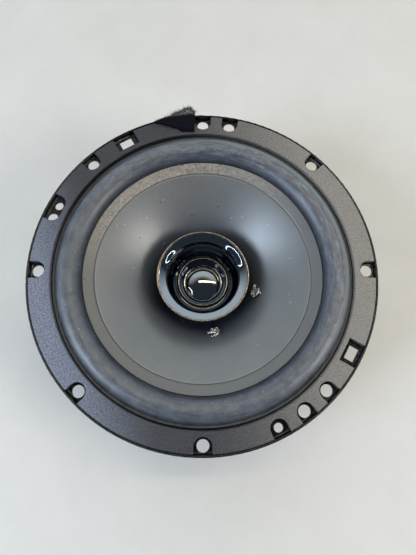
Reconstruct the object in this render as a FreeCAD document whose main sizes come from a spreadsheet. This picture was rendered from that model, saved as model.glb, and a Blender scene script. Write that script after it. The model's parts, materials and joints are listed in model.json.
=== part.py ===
"""Coaxial car loudspeaker, 165 mm across: a pressed-steel basket carries a paper-thin plastic cone on a
rubber surround and a cloth spider, a ferrite motor drives it, and a small dome tweeter stands on the
motor's pole in front of it. Millimetres and degrees. The origin is on the axis, in the plane of the
flange's rear face, which is the face that seats on the car's panel; +Z points at the listener.
"""
import FreeCAD
import Part
import Sketcher
import math
import os

V = FreeCAD.Vector

SIZES = {
    # Basket: outer rim, flange, wall, spider ledge and floor. Depths are measured back from the flange.
    "rim_radius": 82.5, "rim_wall": 1.1, "rim_height": 4.0, "rim_foot": 0.9, "rim_corner": 1.2,
    "steel": 1.0, "cutout_radius": 70.0, "wall_lead": 1.0, "collar_depth": 3.2,
    "knee_radius": 63.5, "knee_depth": 12.0, "ledge_outer": 43.8, "ledge_inner": 38.2,
    "ledge_depth": 31.5, "floor_radius": 37.4, "floor_hole": 24.0,
    "window_inner": 47.5, "window_outer": 62.5, "window_half_angle": 33.0, "window_corner": 3.0,
    "bead_height": 1.2, "bead_angle": 5.0,
    # Mounting holes in the flange.
    "hole_circle": 78.0, "hole_radius": 2.8, "small_hole_radius": 2.05, "middle_hole_radius": 2.5,
    "key_width": 6.4, "key_depth": 4.5,
    # Trim ring.
    "trim_inner": 71.4, "trim_outer": 81.3, "trim_top": 4.2, "trim_edge": 0.5, "trim_rebate": 72.75,
    "pocket_half": 4.1, "pocket_centre": 78.0, "key_pocket_half": 5.7, "key_pocket_inner": 73.6,
    "pair_pocket_half": 6.7, "felt": 0.8,
    # Surround and cone.
    "lip": 0.6, "lip_outer": 72.5, "roll_outer": 69.8, "roll_radius": 6.5, "roll_inner_radius": 5.87,
    "cone_edge": 57.3, "cone_edge_height": 0.1, "cone_wall": 0.7, "cone_curve": 122.6,
    "cone_neck": 16.4, "cone_neck_depth": 28.6, "cone_collar": 1.8, "overlap": 4.6,
    # Voice coil and spider.
    "former_radius": 15.2, "former_wall": 0.3, "former_top": 28.4, "former_bottom": 44.8,
    "winding": 0.7, "winding_top": 32.3, "winding_bottom": 44.3, "glue_gap": 0.1,
    "cloth": 0.5, "wave_start": 38.0, "wave_width": 2.5, "wave_radius": 1.6,
    # Motor.
    "motor_depth": 35.8, "plate_thickness": 5.0, "plate_radius": 36.0, "plate_hole": 16.7,
    "magnet_radius": 40.0, "magnet_hole": 20.0, "magnet_thickness": 13.0, "motor_chamfer": 0.8,
    "yoke_radius": 37.5, "yoke_thickness": 5.0, "pole_radius": 14.6, "pole_bore": 5.0,
    "counterbore": 9.0, "counterbore_depth": 6.5, "channel_width": 3.2, "channel_depth": 2.6,
    "rivet_circle": 30.0, "rivet_radius": 2.0, "rivet_sink": 2.5, "rivet_head": 3.3,
    "rivet_head_height": 0.9, "fit": 0.05,
    # Tweeter.
    "bell_rim": 23.0, "bell_depth": 7.9, "bell_bead": 0.4, "bell_lip": 18.6, "bell_lip_depth": 9.8,
    "bell_curve": 14.0, "bell_step": 18.1, "bell_step_depth": 13.4, "bell_wall": 1.1,
    "throat": 13.4, "throat_depth": 20.6, "throat_curve": 22.0, "socket_lead": 0.3,
    "socket_radius": 13.2, "seat_depth": 23.4, "barrel_radius": 14.0, "barrel_depth": 31.9,
    "cup_radius": 12.4, "cup_bore": 9.7, "cup_top": 23.65, "cup_bottom": 32.4, "cup_floor": 2.5,
    "ring_inner": 9.9, "ring_top": 20.4, "ring_lip": 22.5, "ring_slope_start": 11.8,
    "ring_slope_depth": 21.2, "ring_slope_curve": 6.0, "film": 0.25, "film_inner": 9.55,
    "dome_radius": 9.35, "dome_height": 2.0, "dome_wall": 0.3, "dome_foot": 0.35,
    "coil_inner": 8.9, "coil_outer": 9.3, "coil_bottom": 27.6, "cap_radius": 8.5, "cap_top": 24.4,
    "cap_bottom": 26.6, "disc_radius": 8.3, "spacer_radius": 10.0, "spigot_radius": 4.9, "spigot_length": 3.0,
    "bolt_radius": 2.0, "bolt_head": 3.1, "bolt_head_height": 2.8, "bolt_end": 30.2, "hex_flats": 2.5,
    "washer_radius": 8.5, "washer_thickness": 1.2, "notch_width": 2.6, "notch_start": 3.2,
    # Terminals, in the terminal board's own frame on the basket's sloping wall.
    "board_angle": -45.0, "board_radius": 54.35, "board_depth": 22.5, "board_half": 12.0,
    "board_half_width": 9.0, "board_corner": 1.5, "board_thickness": 2.0, "board_gap": 0.05,
    "tab_thickness": 0.8, "tab_place": -5.0, "tab_offset": 3.6, "tab_height": 10.0, "tab_eye": 0.7,
    "wide_tab": 4.8, "narrow_tab": 2.8, "lug": 4.5, "lug_share": 0.6, "tab_chamfer": 0.8,
    "port_half": 3.5, "port_half_width": 6.0, "board_rivet": 1.2, "board_rivet_head": 2.0,
    "board_rivet_low": -10.2, "board_rivet_high": 1.4, "can_radius": 3.5, "can_length": 13.0,
    "can_place": 7.6, "can_edge": 0.5,
    # Wiring.
    "tinsel": 0.75, "fine_wire": 0.25, "component_wire": 0.3, "hook_up_wire": 0.55,
    "dab_place": 28.0, "dab_width": 2.3, "dab_length": 2.0, "dab_height": 1.3,
    "positive_dab_angle": -78.0, "negative_dab_angle": -13.0,
    "lead_start": 28.9, "lead_start_depth": 19.9, "lead_bend": 29.2, "lead_bend_depth": 24.0,
    "lead_sag": 34.4, "lead_sag_depth": 27.2, "lead_rise": 41.9, "lead_rise_depth": 26.4,
    "coil_wire_start": 26.2, "coil_wire_middle": 21.5, "coil_wire_end": 17.2, "coil_wire_gap": 0.5,
    "wire_in_bore": 4.3, "wire_in_channel": 1.3, "wire_rise": 41.6, "wire_rise_depth": 41.0,
    "wire_beside": 0.65,
}

# Where the tweeter's two wires leave the motor, as (radius, angle, depth), and their ends on the
# board, as (x, y, z).
WIRE_ROUTES = {
    "tweeter_wire_positive": (((51.0, -40.5, 34.0), (58.4, -37.2, 28.0)), (3.1, -8.3, 2.7)),
    "tweeter_wire_negative": (((49.6, -43.6, 35.0), (54.6, -41.2, 32.0)), (-5.0, -4.4, 3.3)),
}
# The capacitor's leads beyond its end caps, in the board's frame.
LEAD_TO_TAB = ((2.0, 8.3, 3.4), (-4.0, 4.1, 3.4))
LEAD_TO_BOARD = ((3.5, -8.3, 2.0),)
LEAD_STUB = 1.8

# Angles round the flange, seen from the front, from +X towards +Y.
FULL_HOLES = (0, 45, 80, 90, 135, 180, 225, 270, 305, 315)
MIDDLE_HOLES = (160,)
SMALL_HOLES = (155, 295)
KEY_HOLES = (120, 330)
ROUND_POCKETS = (0, 45, 80, 90, 135, 180, 225, 270, 295, 305, 315)
PAIR_POCKET = 156.7

doc = FreeCAD.newDocument("CoaxialSpeaker")
sheet = doc.addObject("Spreadsheet::Sheet", "Dimensions")
for row, (alias, number) in enumerate(SIZES.items(), 1):
    sheet.set(f"A{row}", alias.replace("_", " "))
    sheet.set(f"B{row}", str(number))
    sheet.setAlias(f"B{row}", alias)
doc.recompute()


class Size:
    """A length or angle: its number, and the expression that binds it to the sheet."""

    def __init__(self, number, text=None):
        self.number = float(number)
        self.text = text or repr(self.number)

    def joined(self, sign, other, work):
        other = as_size(other)
        return Size(work(self.number, other.number), f"({self.text} {sign} {other.text})")

    def __add__(self, other):
        return self.joined("+", other, lambda a, b: a + b)

    def __sub__(self, other):
        return self.joined("-", other, lambda a, b: a - b)

    def __mul__(self, other):
        return self.joined("*", other, lambda a, b: a * b)

    def __truediv__(self, other):
        return self.joined("/", other, lambda a, b: a / b)

    def __neg__(self):
        return Size(-self.number, f"(0 - {self.text})")

    def __radd__(self, other):
        return as_size(other) + self

    def __rsub__(self, other):
        return as_size(other) - self


class Sheet:
    """Reads a cell of the sheet by its alias."""

    def __getattr__(self, alias):
        return Size(SIZES[alias], f"Dimensions.{alias}")


S = Sheet()


def as_size(value):
    return value if isinstance(value, Size) else Size(value)


def polar(radius, degrees, across=0.0):
    """The point at a radius on the ray at this angle, moved across the ray."""
    radius, across = as_size(radius), as_size(across)
    turn = math.radians(degrees)
    cosine = Size(math.cos(turn), f"cos({degrees} deg)")
    sine = Size(math.sin(turn), f"sin({degrees} deg)")
    return radius * cosine - across * sine, radius * sine + across * cosine


# ---- Sketches and features -------------------------------------------------------------------------


def new_body(name, place=None):
    owner = doc.addObject("PartDesign::Body", name)
    owner.Label = name
    if place:
        owner.Placement = place
    return owner


def origin_item(owner, role):
    return next(item for item in owner.Origin.OriginFeatures if item.Role == role)


def sketch_on(owner, role, offset=None):
    sketch = owner.newObject("Sketcher::SketchObject", owner.Name + "_sketch")
    sketch.AttachmentSupport = [(origin_item(owner, role), "")]
    sketch.MapMode = "FlatFace"
    if offset:
        sketch.AttachmentOffset = offset
    return sketch


def arc_between(start, end, bend):
    """The shorter arc of radius |bend| from start to end: it turns left if bend is positive, else right."""
    chord = end - start
    height = math.sqrt(max(bend * bend - chord.Length**2 / 4, 0.0))
    left = V(-chord.y, chord.x, 0).normalize()
    centre = (start + end) * 0.5 + left * (height if bend > 0 else -height)
    first, last = (start, end) if bend > 0 else (end, start)
    angles = [math.atan2(p.y - centre.y, p.x - centre.x) for p in (first, last)]
    return Part.ArcOfCircle(Part.Circle(centre, V(0, 0, 1), abs(bend)), *angles)


def outline(sketch, corners):
    """Draws a closed outline through corners (x, y), or (x, y, bend) where an arc leads on from there."""
    corners = [tuple(as_size(value) for value in corner) for corner in corners]
    points = [V(corner[0].number, corner[1].number, 0) for corner in corners]
    base, count = sketch.GeometryCount, len(corners)
    shapes, ends = [], []
    for k, corner in enumerate(corners):
        start, end = points[k], points[(k + 1) % count]
        bend = corner[2].number if len(corner) == 3 else 0.0
        shapes.append(arc_between(start, end, bend) if bend else Part.LineSegment(start, end))
        ends.append((2, 1) if bend < 0 else (1, 2))
    sketch.addGeometry(shapes)
    rules, bound = [], []
    for k, corner in enumerate(corners):
        after = (k + 1) % count
        rules.append(Sketcher.Constraint("Coincident", base + k, ends[k][1], base + after, ends[after][0]))
        for name, axis, value in (("DistanceX", -2, corner[0]), ("DistanceY", -1, corner[1])):
            if abs(value.number) < 1e-9:
                rules.append(Sketcher.Constraint("PointOnObject", base + k, ends[k][0], axis))
                continue
            bound.append((len(rules), value))
            rules.append(Sketcher.Constraint(name, -1, 1, base + k, ends[k][0], value.number))
        if len(corner) == 3:
            size = corner[2] if corner[2].number > 0 else -corner[2]
            bound.append((len(rules), size))
            rules.append(Sketcher.Constraint("Radius", base + k, size.number))
    apply_rules(sketch, rules, bound)


def circle(sketch, centre, radius):
    x, y, radius = as_size(centre[0]), as_size(centre[1]), as_size(radius)
    item = sketch.GeometryCount
    sketch.addGeometry(Part.Circle(V(x.number, y.number, 0), V(0, 0, 1), radius.number))
    rules, bound = [Sketcher.Constraint("Radius", item, radius.number)], [(0, radius)]
    for name, axis, value in (("DistanceX", -2, x), ("DistanceY", -1, y)):
        if abs(value.number) < 1e-9:
            rules.append(Sketcher.Constraint("PointOnObject", item, 3, axis))
            continue
        bound.append((len(rules), value))
        rules.append(Sketcher.Constraint(name, -1, 1, item, 3, value.number))
    apply_rules(sketch, rules, bound)


def apply_rules(sketch, rules, bound):
    first = len(sketch.Constraints)
    sketch.addConstraint(rules)
    for index, size in bound:
        sketch.setExpression(f"Constraints[{first + index}]", size.text)


def revolved(name, corners, place=None):
    """A body turned round Z from an outline of (radius, height) corners."""
    owner = new_body(name, place)
    add_turn(owner, corners)
    return owner


def add_turn(owner, corners, angle=360.0, facing=0.0):
    offset = FreeCAD.Placement(V(), FreeCAD.Rotation(V(0, 1, 0), facing)) if facing else None
    sketch = sketch_on(owner, "XZ_Plane", offset)
    outline(sketch, corners)
    turn = owner.newObject("PartDesign::Revolution", owner.Name + "_turn")
    turn.Profile = sketch
    turn.ReferenceAxis = (sketch, ["V_Axis"])
    if isinstance(angle, Size):
        turn.Midplane = True
        turn.setExpression("Angle", angle.text)
    else:
        turn.Angle = angle
    return turn


def padded(name, role, length, corners, place=None, offset=None, both_ways=False):
    """A body pushed out of a plane of its own from an outline."""
    owner = new_body(name, place)
    sketch = sketch_on(owner, role, offset)
    outline(sketch, corners)
    pad = owner.newObject("PartDesign::Pad", name + "_pad")
    pad.Profile = sketch
    pad.setExpression("Length", as_size(length).text)
    if both_ways:
        pad.SideType = "Symmetric"
    return owner


def pocket(owner, role, draw, upwards=False, depth=None, offset=None):
    """Cuts what draw(sketch) draws, through the body or to a depth, and proves that it cut something."""
    doc.recompute()
    before = owner.Shape.Volume
    sketch = sketch_on(owner, role, offset)
    draw(sketch)
    cut = owner.newObject("PartDesign::Pocket", owner.Name + "_pocket")
    cut.Profile = sketch
    cut.Reversed = upwards
    if depth is None:
        cut.Type = "ThroughAll"
    else:
        cut.setExpression("Length", as_size(depth).text)
    doc.recompute()
    if not before - owner.Shape.Volume > 0.1:
        raise RuntimeError(f"{cut.Name} cuts nothing")
    return cut


def pattern(owner, feature, count, angle):
    """Repeats a feature of a body round Z."""
    copies = owner.newObject("PartDesign::PolarPattern", owner.Name + "_pattern")
    copies.Originals = [feature]
    copies.Axis = (origin_item(owner, "Z_Axis"), [""])
    copies.Angle = angle
    copies.Occurrences = count
    owner.Tip = copies
    return copies


def bite(owner, kind, place, **sizes):
    """Cuts a placed box or cylinder out of a body, and proves that it cut something."""
    doc.recompute()
    before = owner.Shape.Volume
    tool = owner.newObject(f"PartDesign::Subtractive{kind}", f"{owner.Name}_{kind.lower()}")
    tool.AttachmentSupport = [(origin_item(owner, "XY_Plane"), "")]
    tool.MapMode = "FlatFace"
    tool.AttachmentOffset = place
    for name, size in sizes.items():
        tool.setExpression(name, as_size(size).text)
    doc.recompute()
    if not before - owner.Shape.Volume > 0.1:
        raise RuntimeError(f"{tool.Name} cuts nothing")


def shifted(x=0.0, y=0.0, z=0.0):
    values = [as_size(value).number for value in (x, y, z)]
    return FreeCAD.Placement(V(*values), FreeCAD.Rotation())


def turned(angle):
    return FreeCAD.Placement(V(), FreeCAD.Rotation(V(0, 0, 1), as_size(angle).number))


def cylinder(name, radius, length, place):
    """A plain cylinder, used as one piece of a fused group."""
    item = doc.addObject("Part::Cylinder", name)
    item.setExpression("Radius", as_size(radius).text)
    item.setExpression("Height", as_size(length).text)
    item.Placement = place
    return item


def fused(name, pieces):
    group = doc.addObject("Part::MultiFuse", name)
    group.Label = name
    group.Shapes = pieces
    return group


def wire_solid(points, radius, largest_bend):
    """A round wire along straight runs joined by tangent arcs."""
    edges, start, radii = [], points[0], []
    for k in range(1, len(points) - 1):
        before, corner, after = points[k - 1], points[k], points[k + 1]
        inward, onward = corner - before, after - corner
        half = inward.getAngle(onward) / 2
        shorter = min(inward.Length, onward.Length)
        bend = min(0.45 * shorter / math.tan(half), largest_bend)
        reach = bend * math.tan(half)
        inward.normalize()
        onward.normalize()
        first, last = corner - inward * reach, corner + onward * reach
        towards = (onward - inward).normalize()
        middle = corner + towards * (bend / math.cos(half) - bend)
        edges += [Part.LineSegment(start, first).toShape(), Part.Arc(first, middle, last).toShape()]
        start = last
        radii.append(round(bend, 2))
    edges.append(Part.LineSegment(start, points[-1]).toShape())
    path = Part.Wire(edges)
    disc = Part.Wire(Part.makeCircle(radius, points[0], points[1] - points[0]))
    solid = path.makePipeShell([disc], True, False)
    expected = math.pi * radius * radius * path.Length
    if abs(solid.Volume / expected - 1) > 0.02:
        raise RuntimeError("a wire's volume is wrong")
    print(f"wire: length {path.Length:.1f} mm, bends {radii}")
    return solid


def wires(name, solids):
    """One node for wire solids."""
    node = doc.addObject("Part::Feature", name)
    node.Label = name
    node.Shape = solids[0] if len(solids) == 1 else Part.makeCompound(solids)
    return node


# ---- Frames that several pieces share --------------------------------------------------------------

CONE_START = V(S.cone_neck.number, -S.cone_neck_depth.number, 0)
CONE_END = V(S.cone_edge.number, S.cone_edge_height.number, 0)
CONE_ARC = arc_between(CONE_START, CONE_END, -S.cone_curve.number)


def cone_height(radius):
    """Height of the cone's front face at a radius."""
    centre, bend = CONE_ARC.Center, CONE_ARC.Radius
    return centre.y + math.sqrt(bend**2 - (radius - centre.x) ** 2)


def cone_slope(radius):
    """Slope of the cone's front face at a radius, in degrees."""
    centre = CONE_ARC.Center
    return math.degrees(math.atan((centre.x - radius) / (cone_height(radius) - centre.y)))


def spoke_frame():
    """The terminal board's frame: X up the basket's sloping wall, Z out of it."""
    slope = math.sqrt(0.5)
    tilt = FreeCAD.Rotation(V(slope, 0, slope), V(0, -1, 0), V(slope, 0, -slope), "ZXY")
    there = FreeCAD.Placement(V(S.board_radius.number, 0, -S.board_depth.number), tilt)
    return turned(S.board_angle).multiply(there)


BOARD = spoke_frame()


def around(radius, degrees, height):
    """A point given by radius, angle and height."""
    turn = math.radians(degrees)
    return V(radius * math.cos(turn), radius * math.sin(turn), height)


# ---- Basket, trim and seal -------------------------------------------------------------------------


def key_outline(degrees):
    """A rectangular hole, its longer side across the radius."""
    half_width, half_depth = S.key_width / 2, S.key_depth / 2
    return [
        polar(S.hole_circle - half_depth, degrees, -half_width),
        polar(S.hole_circle + half_depth, degrees, -half_width),
        polar(S.hole_circle + half_depth, degrees, half_width),
        polar(S.hole_circle - half_depth, degrees, half_width),
    ]


def draw_mounting_holes(sketch):
    for angles, radius in (
        (FULL_HOLES, S.hole_radius),
        (MIDDLE_HOLES, S.middle_hole_radius),
        (SMALL_HOLES, S.small_hole_radius),
    ):
        for degrees in angles:
            circle(sketch, polar(S.hole_circle, degrees), radius)
    for degrees in KEY_HOLES:
        outline(sketch, key_outline(degrees))


def draw_window(sketch):
    """An opening in the sloping wall, between two spokes."""
    inner, outer, half = S.window_inner, S.window_outer, SIZES["window_half_angle"]
    outline(
        sketch,
        [
            (*polar(inner, half), -inner),
            polar(inner, -half),
            (*polar(outer, -half), outer),
            polar(outer, half),
        ],
    )


def make_basket():
    rim, steel, foot = S.rim_radius, S.steel, S.rim_foot
    half_wall = S.rim_wall / 2
    inside = rim - S.rim_wall
    basket = revolved(
        "basket",
        [
            (rim - S.rim_corner, 0, S.rim_corner),
            (rim, S.rim_corner),
            (rim, S.rim_height - half_wall, half_wall),
            (rim - half_wall, S.rim_height, half_wall),
            (inside, S.rim_height - half_wall),
            (inside, steel + foot, -foot),
            (inside - foot, steel),
            (S.cutout_radius, steel),
            (S.cutout_radius - S.wall_lead, 0),
            (S.cutout_radius - steel, -S.collar_depth + 0.3),
            (S.knee_radius, -S.knee_depth),
            (S.ledge_outer, -S.ledge_depth),
            (S.ledge_inner, -S.ledge_depth),
            (S.floor_radius, -S.motor_depth + steel),
            (S.floor_hole, -S.motor_depth + steel),
            (S.floor_hole, -S.motor_depth),
            (S.floor_radius + 0.9, -S.motor_depth),
            (S.ledge_inner + steel, -S.ledge_depth - steel),
            (S.ledge_outer + 0.6, -S.ledge_depth - steel),
            (S.knee_radius + 0.8, -S.knee_depth - 0.5),
            (S.cutout_radius, -S.collar_depth),
            (S.cutout_radius, -S.steel + 0.1),
            (S.cutout_radius + S.wall_lead, 0),
        ],
    )
    pocket(basket, "XY_Plane", draw_mounting_holes, upwards=True)
    window = pocket(basket, "XY_Plane", draw_window)
    pattern(basket, window, 4, 360.0)
    high, low = S.knee_radius + 0.8, S.ledge_outer + 2.4
    bead = add_turn(
        basket,
        [
            (low, -S.ledge_depth + 1.6),
            (low + S.bead_height, -S.ledge_depth + 0.4),
            (high + 0.2, -S.knee_depth - 0.6 - S.bead_height),
            (high - 0.9, -S.knee_depth - 0.6),
        ],
        angle=S.bead_angle,
        facing=45.0,
    )
    pattern(basket, bead, 3, 180.0)
    hole = pocket(
        basket,
        "XY_Plane",
        lambda sketch: circle(sketch, polar(S.rivet_circle, 45), S.rivet_radius + S.fit),
        offset=shifted(z=-S.ledge_depth),
    )
    pattern(basket, hole, 4, 360.0)
    port = shifted(S.tab_place - S.port_half, -S.port_half_width, -3.0)
    bite(
        basket, "Box", BOARD.multiply(port), Length=S.port_half * 2, Width=S.port_half_width * 2, Height=4.0
    )
    for x in (S.board_rivet_low, S.board_rivet_high):
        bite(
            basket, "Cylinder", BOARD.multiply(shifted(x, 0, -3.0)), Radius=S.board_rivet + S.fit, Height=4.0
        )


def draw_pockets(sketch):
    """The trim ring's pockets round the mounting holes, open at the outside."""
    beyond, half, centre = S.trim_outer + 1.0, S.pocket_half, S.pocket_centre
    for degrees in ROUND_POCKETS:
        outline(
            sketch,
            [
                polar(beyond, degrees, half),
                (*polar(centre, degrees, half), half),
                (*polar(centre - half, degrees), half),
                polar(centre, degrees, -half),
                polar(beyond, degrees, -half),
            ],
        )
    for degrees in KEY_HOLES:
        wide = S.key_pocket_half
        outline(
            sketch,
            [
                polar(beyond, degrees, wide),
                polar(S.key_pocket_inner, degrees, wide),
                polar(S.key_pocket_inner, degrees, -wide),
                polar(beyond, degrees, -wide),
            ],
        )
    wide = S.pair_pocket_half
    outline(
        sketch,
        [
            polar(beyond, PAIR_POCKET, wide),
            (*polar(centre, PAIR_POCKET, wide), half),
            polar(centre - half, PAIR_POCKET, wide - half),
            (*polar(centre - half, PAIR_POCKET, half - wide), half),
            polar(centre, PAIR_POCKET, -wide),
            polar(beyond, PAIR_POCKET, -wide),
        ],
    )


def make_trim_ring():
    edge, top, seat = S.trim_edge, S.trim_top, S.steel + S.lip + S.glue_gap
    ring = revolved(
        "trim_ring",
        [
            (S.trim_rebate, S.steel),
            (S.trim_outer - S.rim_foot, S.steel),
            (S.trim_outer, S.steel + S.rim_foot),
            (S.trim_outer, top - edge, edge),
            (S.trim_outer - edge, top),
            (S.trim_inner + edge, top, edge),
            (S.trim_inner, top - edge),
            (S.trim_inner, seat),
            (S.trim_rebate, seat),
        ],
    )
    pocket(ring, "XY_Plane", draw_pockets, upwards=True)


def make_seal_scrap():
    """What is left of a strip of felt seal, stuck over the trim ring and hanging past the rim."""
    inner, outer = S.trim_inner, S.rim_radius
    corners = [
        (inner, 93.4),
        (inner + 0.3, 100.0),
        (inner + 6.6, 104.0),
        (outer - 0.8, 108.0),
        (outer - 0.2, 99.0),
        (outer + 2.2, 97.0),
        (outer + 2.6, 94.2),
        (outer - 0.3, 92.8),
    ]
    corners = [polar(radius, degrees) for radius, degrees in reversed(corners)]
    padded("seal_scrap", "XY_Plane", S.felt, corners, offset=shifted(z=S.trim_top))


# ---- Cone, surround, spider and voice coil -----------------------------------------------------------


def make_surround():
    lip, steel, edge = S.lip, S.steel, S.cone_edge + S.glue_gap
    inner_end = S.cone_edge - S.overlap
    under = S.cone_wall + S.glue_gap
    inner_height = Size(cone_height(inner_end.number)) - under
    revolved(
        "surround",
        [
            (S.roll_outer - 0.5, steel),
            (S.lip_outer, steel),
            (S.lip_outer, steel + lip),
            (S.roll_outer, steel + lip, S.roll_radius),
            (edge, S.cone_edge_height - under),
            (inner_end, inner_height),
            (inner_end, inner_height - 0.5),
            (edge + 0.5, S.cone_edge_height - under - 0.55, -S.roll_inner_radius),
        ],
    )


def make_cone():
    wall, edge_z, neck_z = S.cone_wall, S.cone_edge_height, -S.cone_neck_depth
    inside = S.former_radius + S.former_wall + S.glue_gap
    revolved(
        "cone",
        [
            (inside, neck_z - S.cone_collar),
            (inside + wall, neck_z - S.cone_collar),
            (S.cone_neck + 0.4, neck_z - 0.9, wall - S.cone_curve),
            (S.cone_edge, edge_z - wall),
            (S.cone_edge, edge_z, S.cone_curve),
            (S.cone_neck, neck_z),
            (inside, neck_z),
        ],
    )


def make_spider():
    """A flat cloth ring with pressed waves, glued to the ledge outside and to the voice coil inside."""
    inside = S.former_radius + S.former_wall + S.glue_gap
    top, bottom = -S.ledge_depth + S.cloth, -S.ledge_depth
    waves = range(8)
    ridges = [S.wave_start - S.wave_width * k for k in waves]
    bends = [S.wave_radius if k % 2 else -S.wave_radius for k in waves]
    last = S.wave_start - S.wave_width * len(waves)
    front = [(ridge, top, bend) for ridge, bend in zip(ridges, bends)] + [(last, top)]
    back = [(last, bottom, -bends[-1])]
    back += [(ridge, bottom, -bend) for ridge, bend in zip(ridges[:0:-1], bends[-2::-1])]
    back += [(ridges[0], bottom)]
    outside = S.ledge_outer - 0.4
    revolved("spider", [(outside, bottom), (outside, top), *front, (inside, top), (inside, bottom), *back])


def tube(name, inner, outer, top, bottom, place=None):
    """A plain ring between two depths."""
    return revolved(name, [(inner, -bottom), (outer, -bottom), (outer, -top), (inner, -top)], place)


def make_voice_coil():
    skin = S.former_radius + S.former_wall
    tube("voice_coil_former", S.former_radius, skin, S.former_top, S.former_bottom)
    tube("voice_coil_winding", skin, skin + S.winding, S.winding_top, S.winding_bottom)


# ---- Motor -------------------------------------------------------------------------------------------


def make_top_plate():
    plate = tube(
        "top_plate", S.plate_hole, S.plate_radius, S.motor_depth, S.motor_depth + S.plate_thickness
    )
    hole = pocket(
        plate,
        "XY_Plane",
        lambda sketch: circle(sketch, polar(S.rivet_circle, 45), S.rivet_radius + S.fit),
        depth=S.rivet_sink + S.fit,
        offset=shifted(z=-S.motor_depth),
    )
    pattern(plate, hole, 4, 360.0)


def make_magnet():
    top = -S.motor_depth - S.plate_thickness
    bottom = top - S.magnet_thickness
    outer, inner, edge = S.magnet_radius, S.magnet_hole, S.motor_chamfer
    revolved(
        "magnet",
        [
            (inner, bottom),
            (outer - edge, bottom),
            (outer, bottom + edge),
            (outer, top - edge),
            (outer - edge, top),
            (inner, top),
        ],
    )


def yoke_back():
    return S.motor_depth + S.plate_thickness + S.magnet_thickness + S.yoke_thickness


def make_yoke():
    """Back plate and pole in one piece, bored through for the tweeter's bolt and wires."""
    back = -yoke_back()
    plate_top, edge = back + S.yoke_thickness, S.motor_chamfer
    yoke = revolved(
        "yoke",
        [
            (S.counterbore, back),
            (S.yoke_radius - edge, back),
            (S.yoke_radius, back + edge),
            (S.yoke_radius, plate_top),
            (S.pole_radius, plate_top),
            (S.pole_radius, -S.motor_depth),
            (S.pole_bore, -S.motor_depth),
            (S.pole_bore, back + S.counterbore_depth),
            (S.counterbore, back + S.counterbore_depth),
        ],
    )
    start = S.counterbore - 1.0
    channel = turned(S.board_angle).multiply(shifted(start, -S.channel_width / 2, back - 1.0))
    bite(
        yoke,
        "Box",
        channel,
        Length=S.yoke_radius,
        Width=S.channel_width,
        Height=S.channel_depth + 1.0,
    )


def make_frame_rivets():
    """Four rivets that clench the basket's floor to the top plate."""
    top = -S.motor_depth + S.steel
    shank = S.rivet_sink + S.steel
    pieces = []
    for number, degrees in enumerate((45, 135, 225, 315)):
        x, y = polar(S.rivet_circle, degrees)
        pieces.append(cylinder(f"shank{number}", S.rivet_radius, shank, shifted(x, y, top - shank)))
        pieces.append(cylinder(f"head{number}", S.rivet_head, S.rivet_head_height, shifted(x, y, top)))
    fused("frame_rivets", pieces)


# ---- Tweeter -----------------------------------------------------------------------------------------


def make_tweeter_housing():
    """A flared bell round the dome, with a barrel that holds the motor."""
    bead, wall = S.bell_bead, S.bell_wall
    revolved(
        "tweeter_housing",
        [
            (S.cup_radius + S.glue_gap, -S.barrel_depth),
            (S.barrel_radius, -S.barrel_depth),
            (S.barrel_radius, -S.throat_depth - wall, -S.throat_curve),
            (S.bell_step + wall, -S.bell_step_depth - bead),
            (S.bell_lip + wall, -S.bell_lip_depth - wall, -S.bell_curve),
            (S.bell_rim, -S.bell_depth - bead * 2),
            (S.bell_rim, -S.bell_depth, bead),
            (S.bell_rim - bead, -S.bell_depth + bead, bead),
            (S.bell_rim - bead * 2, -S.bell_depth, S.bell_curve),
            (S.bell_lip, -S.bell_lip_depth),
            (S.bell_step, -S.bell_step_depth, S.throat_curve),
            (S.throat, -S.throat_depth),
            (S.socket_radius, -S.throat_depth - S.socket_lead),
            (S.socket_radius, -S.seat_depth),
            (S.cup_radius + S.glue_gap, -S.seat_depth),
        ],
    )


def make_retaining_ring():
    outer, low = S.socket_radius - S.glue_gap, -S.seat_depth + S.fit
    edge = S.trim_edge
    revolved(
        "tweeter_retaining_ring",
        [
            (S.ring_inner, low),
            (outer, low),
            (outer, -S.ring_top - edge, edge),
            (outer - edge, -S.ring_top, edge),
            (outer - edge * 2, -S.ring_top - edge),
            (S.ring_slope_start, -S.ring_slope_depth, S.ring_slope_curve),
            (S.ring_inner, -S.ring_lip),
        ],
    )


def sphere_radius(half_width, height):
    """Radius of a spherical cap."""
    return (half_width * half_width + height * height) / (height * 2)


def make_tweeter_diaphragm():
    base = -S.cup_top + S.film
    inner_half, inner_height = S.dome_radius - S.dome_foot, S.dome_height - S.dome_wall
    revolved(
        "tweeter_dome",
        [
            (inner_half, base),
            (S.dome_radius, base, sphere_radius(S.dome_radius, S.dome_height)),
            (0, base + S.dome_height),
            (0, base + inner_height, -sphere_radius(inner_half, inner_height)),
        ],
    )
    tube("tweeter_voice_coil", S.coil_inner, S.coil_outer, -base, S.coil_bottom)
    tube("tweeter_surround", S.film_inner, S.cup_radius - S.glue_gap, -base, S.cup_top)


def make_tweeter_motor():
    floor = S.cup_bottom - S.cup_floor
    bore = S.bolt_radius + S.fit
    revolved(
        "tweeter_cup",
        [
            (bore, -S.cup_bottom),
            (S.cup_radius, -S.cup_bottom),
            (S.cup_radius, -S.cup_top),
            (S.cup_bore, -S.cup_top),
            (S.cup_bore, -floor),
            (bore, -floor),
        ],
    )
    for name, radius, top, bottom in (
        ("tweeter_magnet", S.disc_radius, S.cap_bottom, floor),
        ("tweeter_pole_piece", S.cap_radius, S.cap_top, S.cap_bottom),
    ):
        tube(name, 0, radius, top, bottom)


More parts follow.
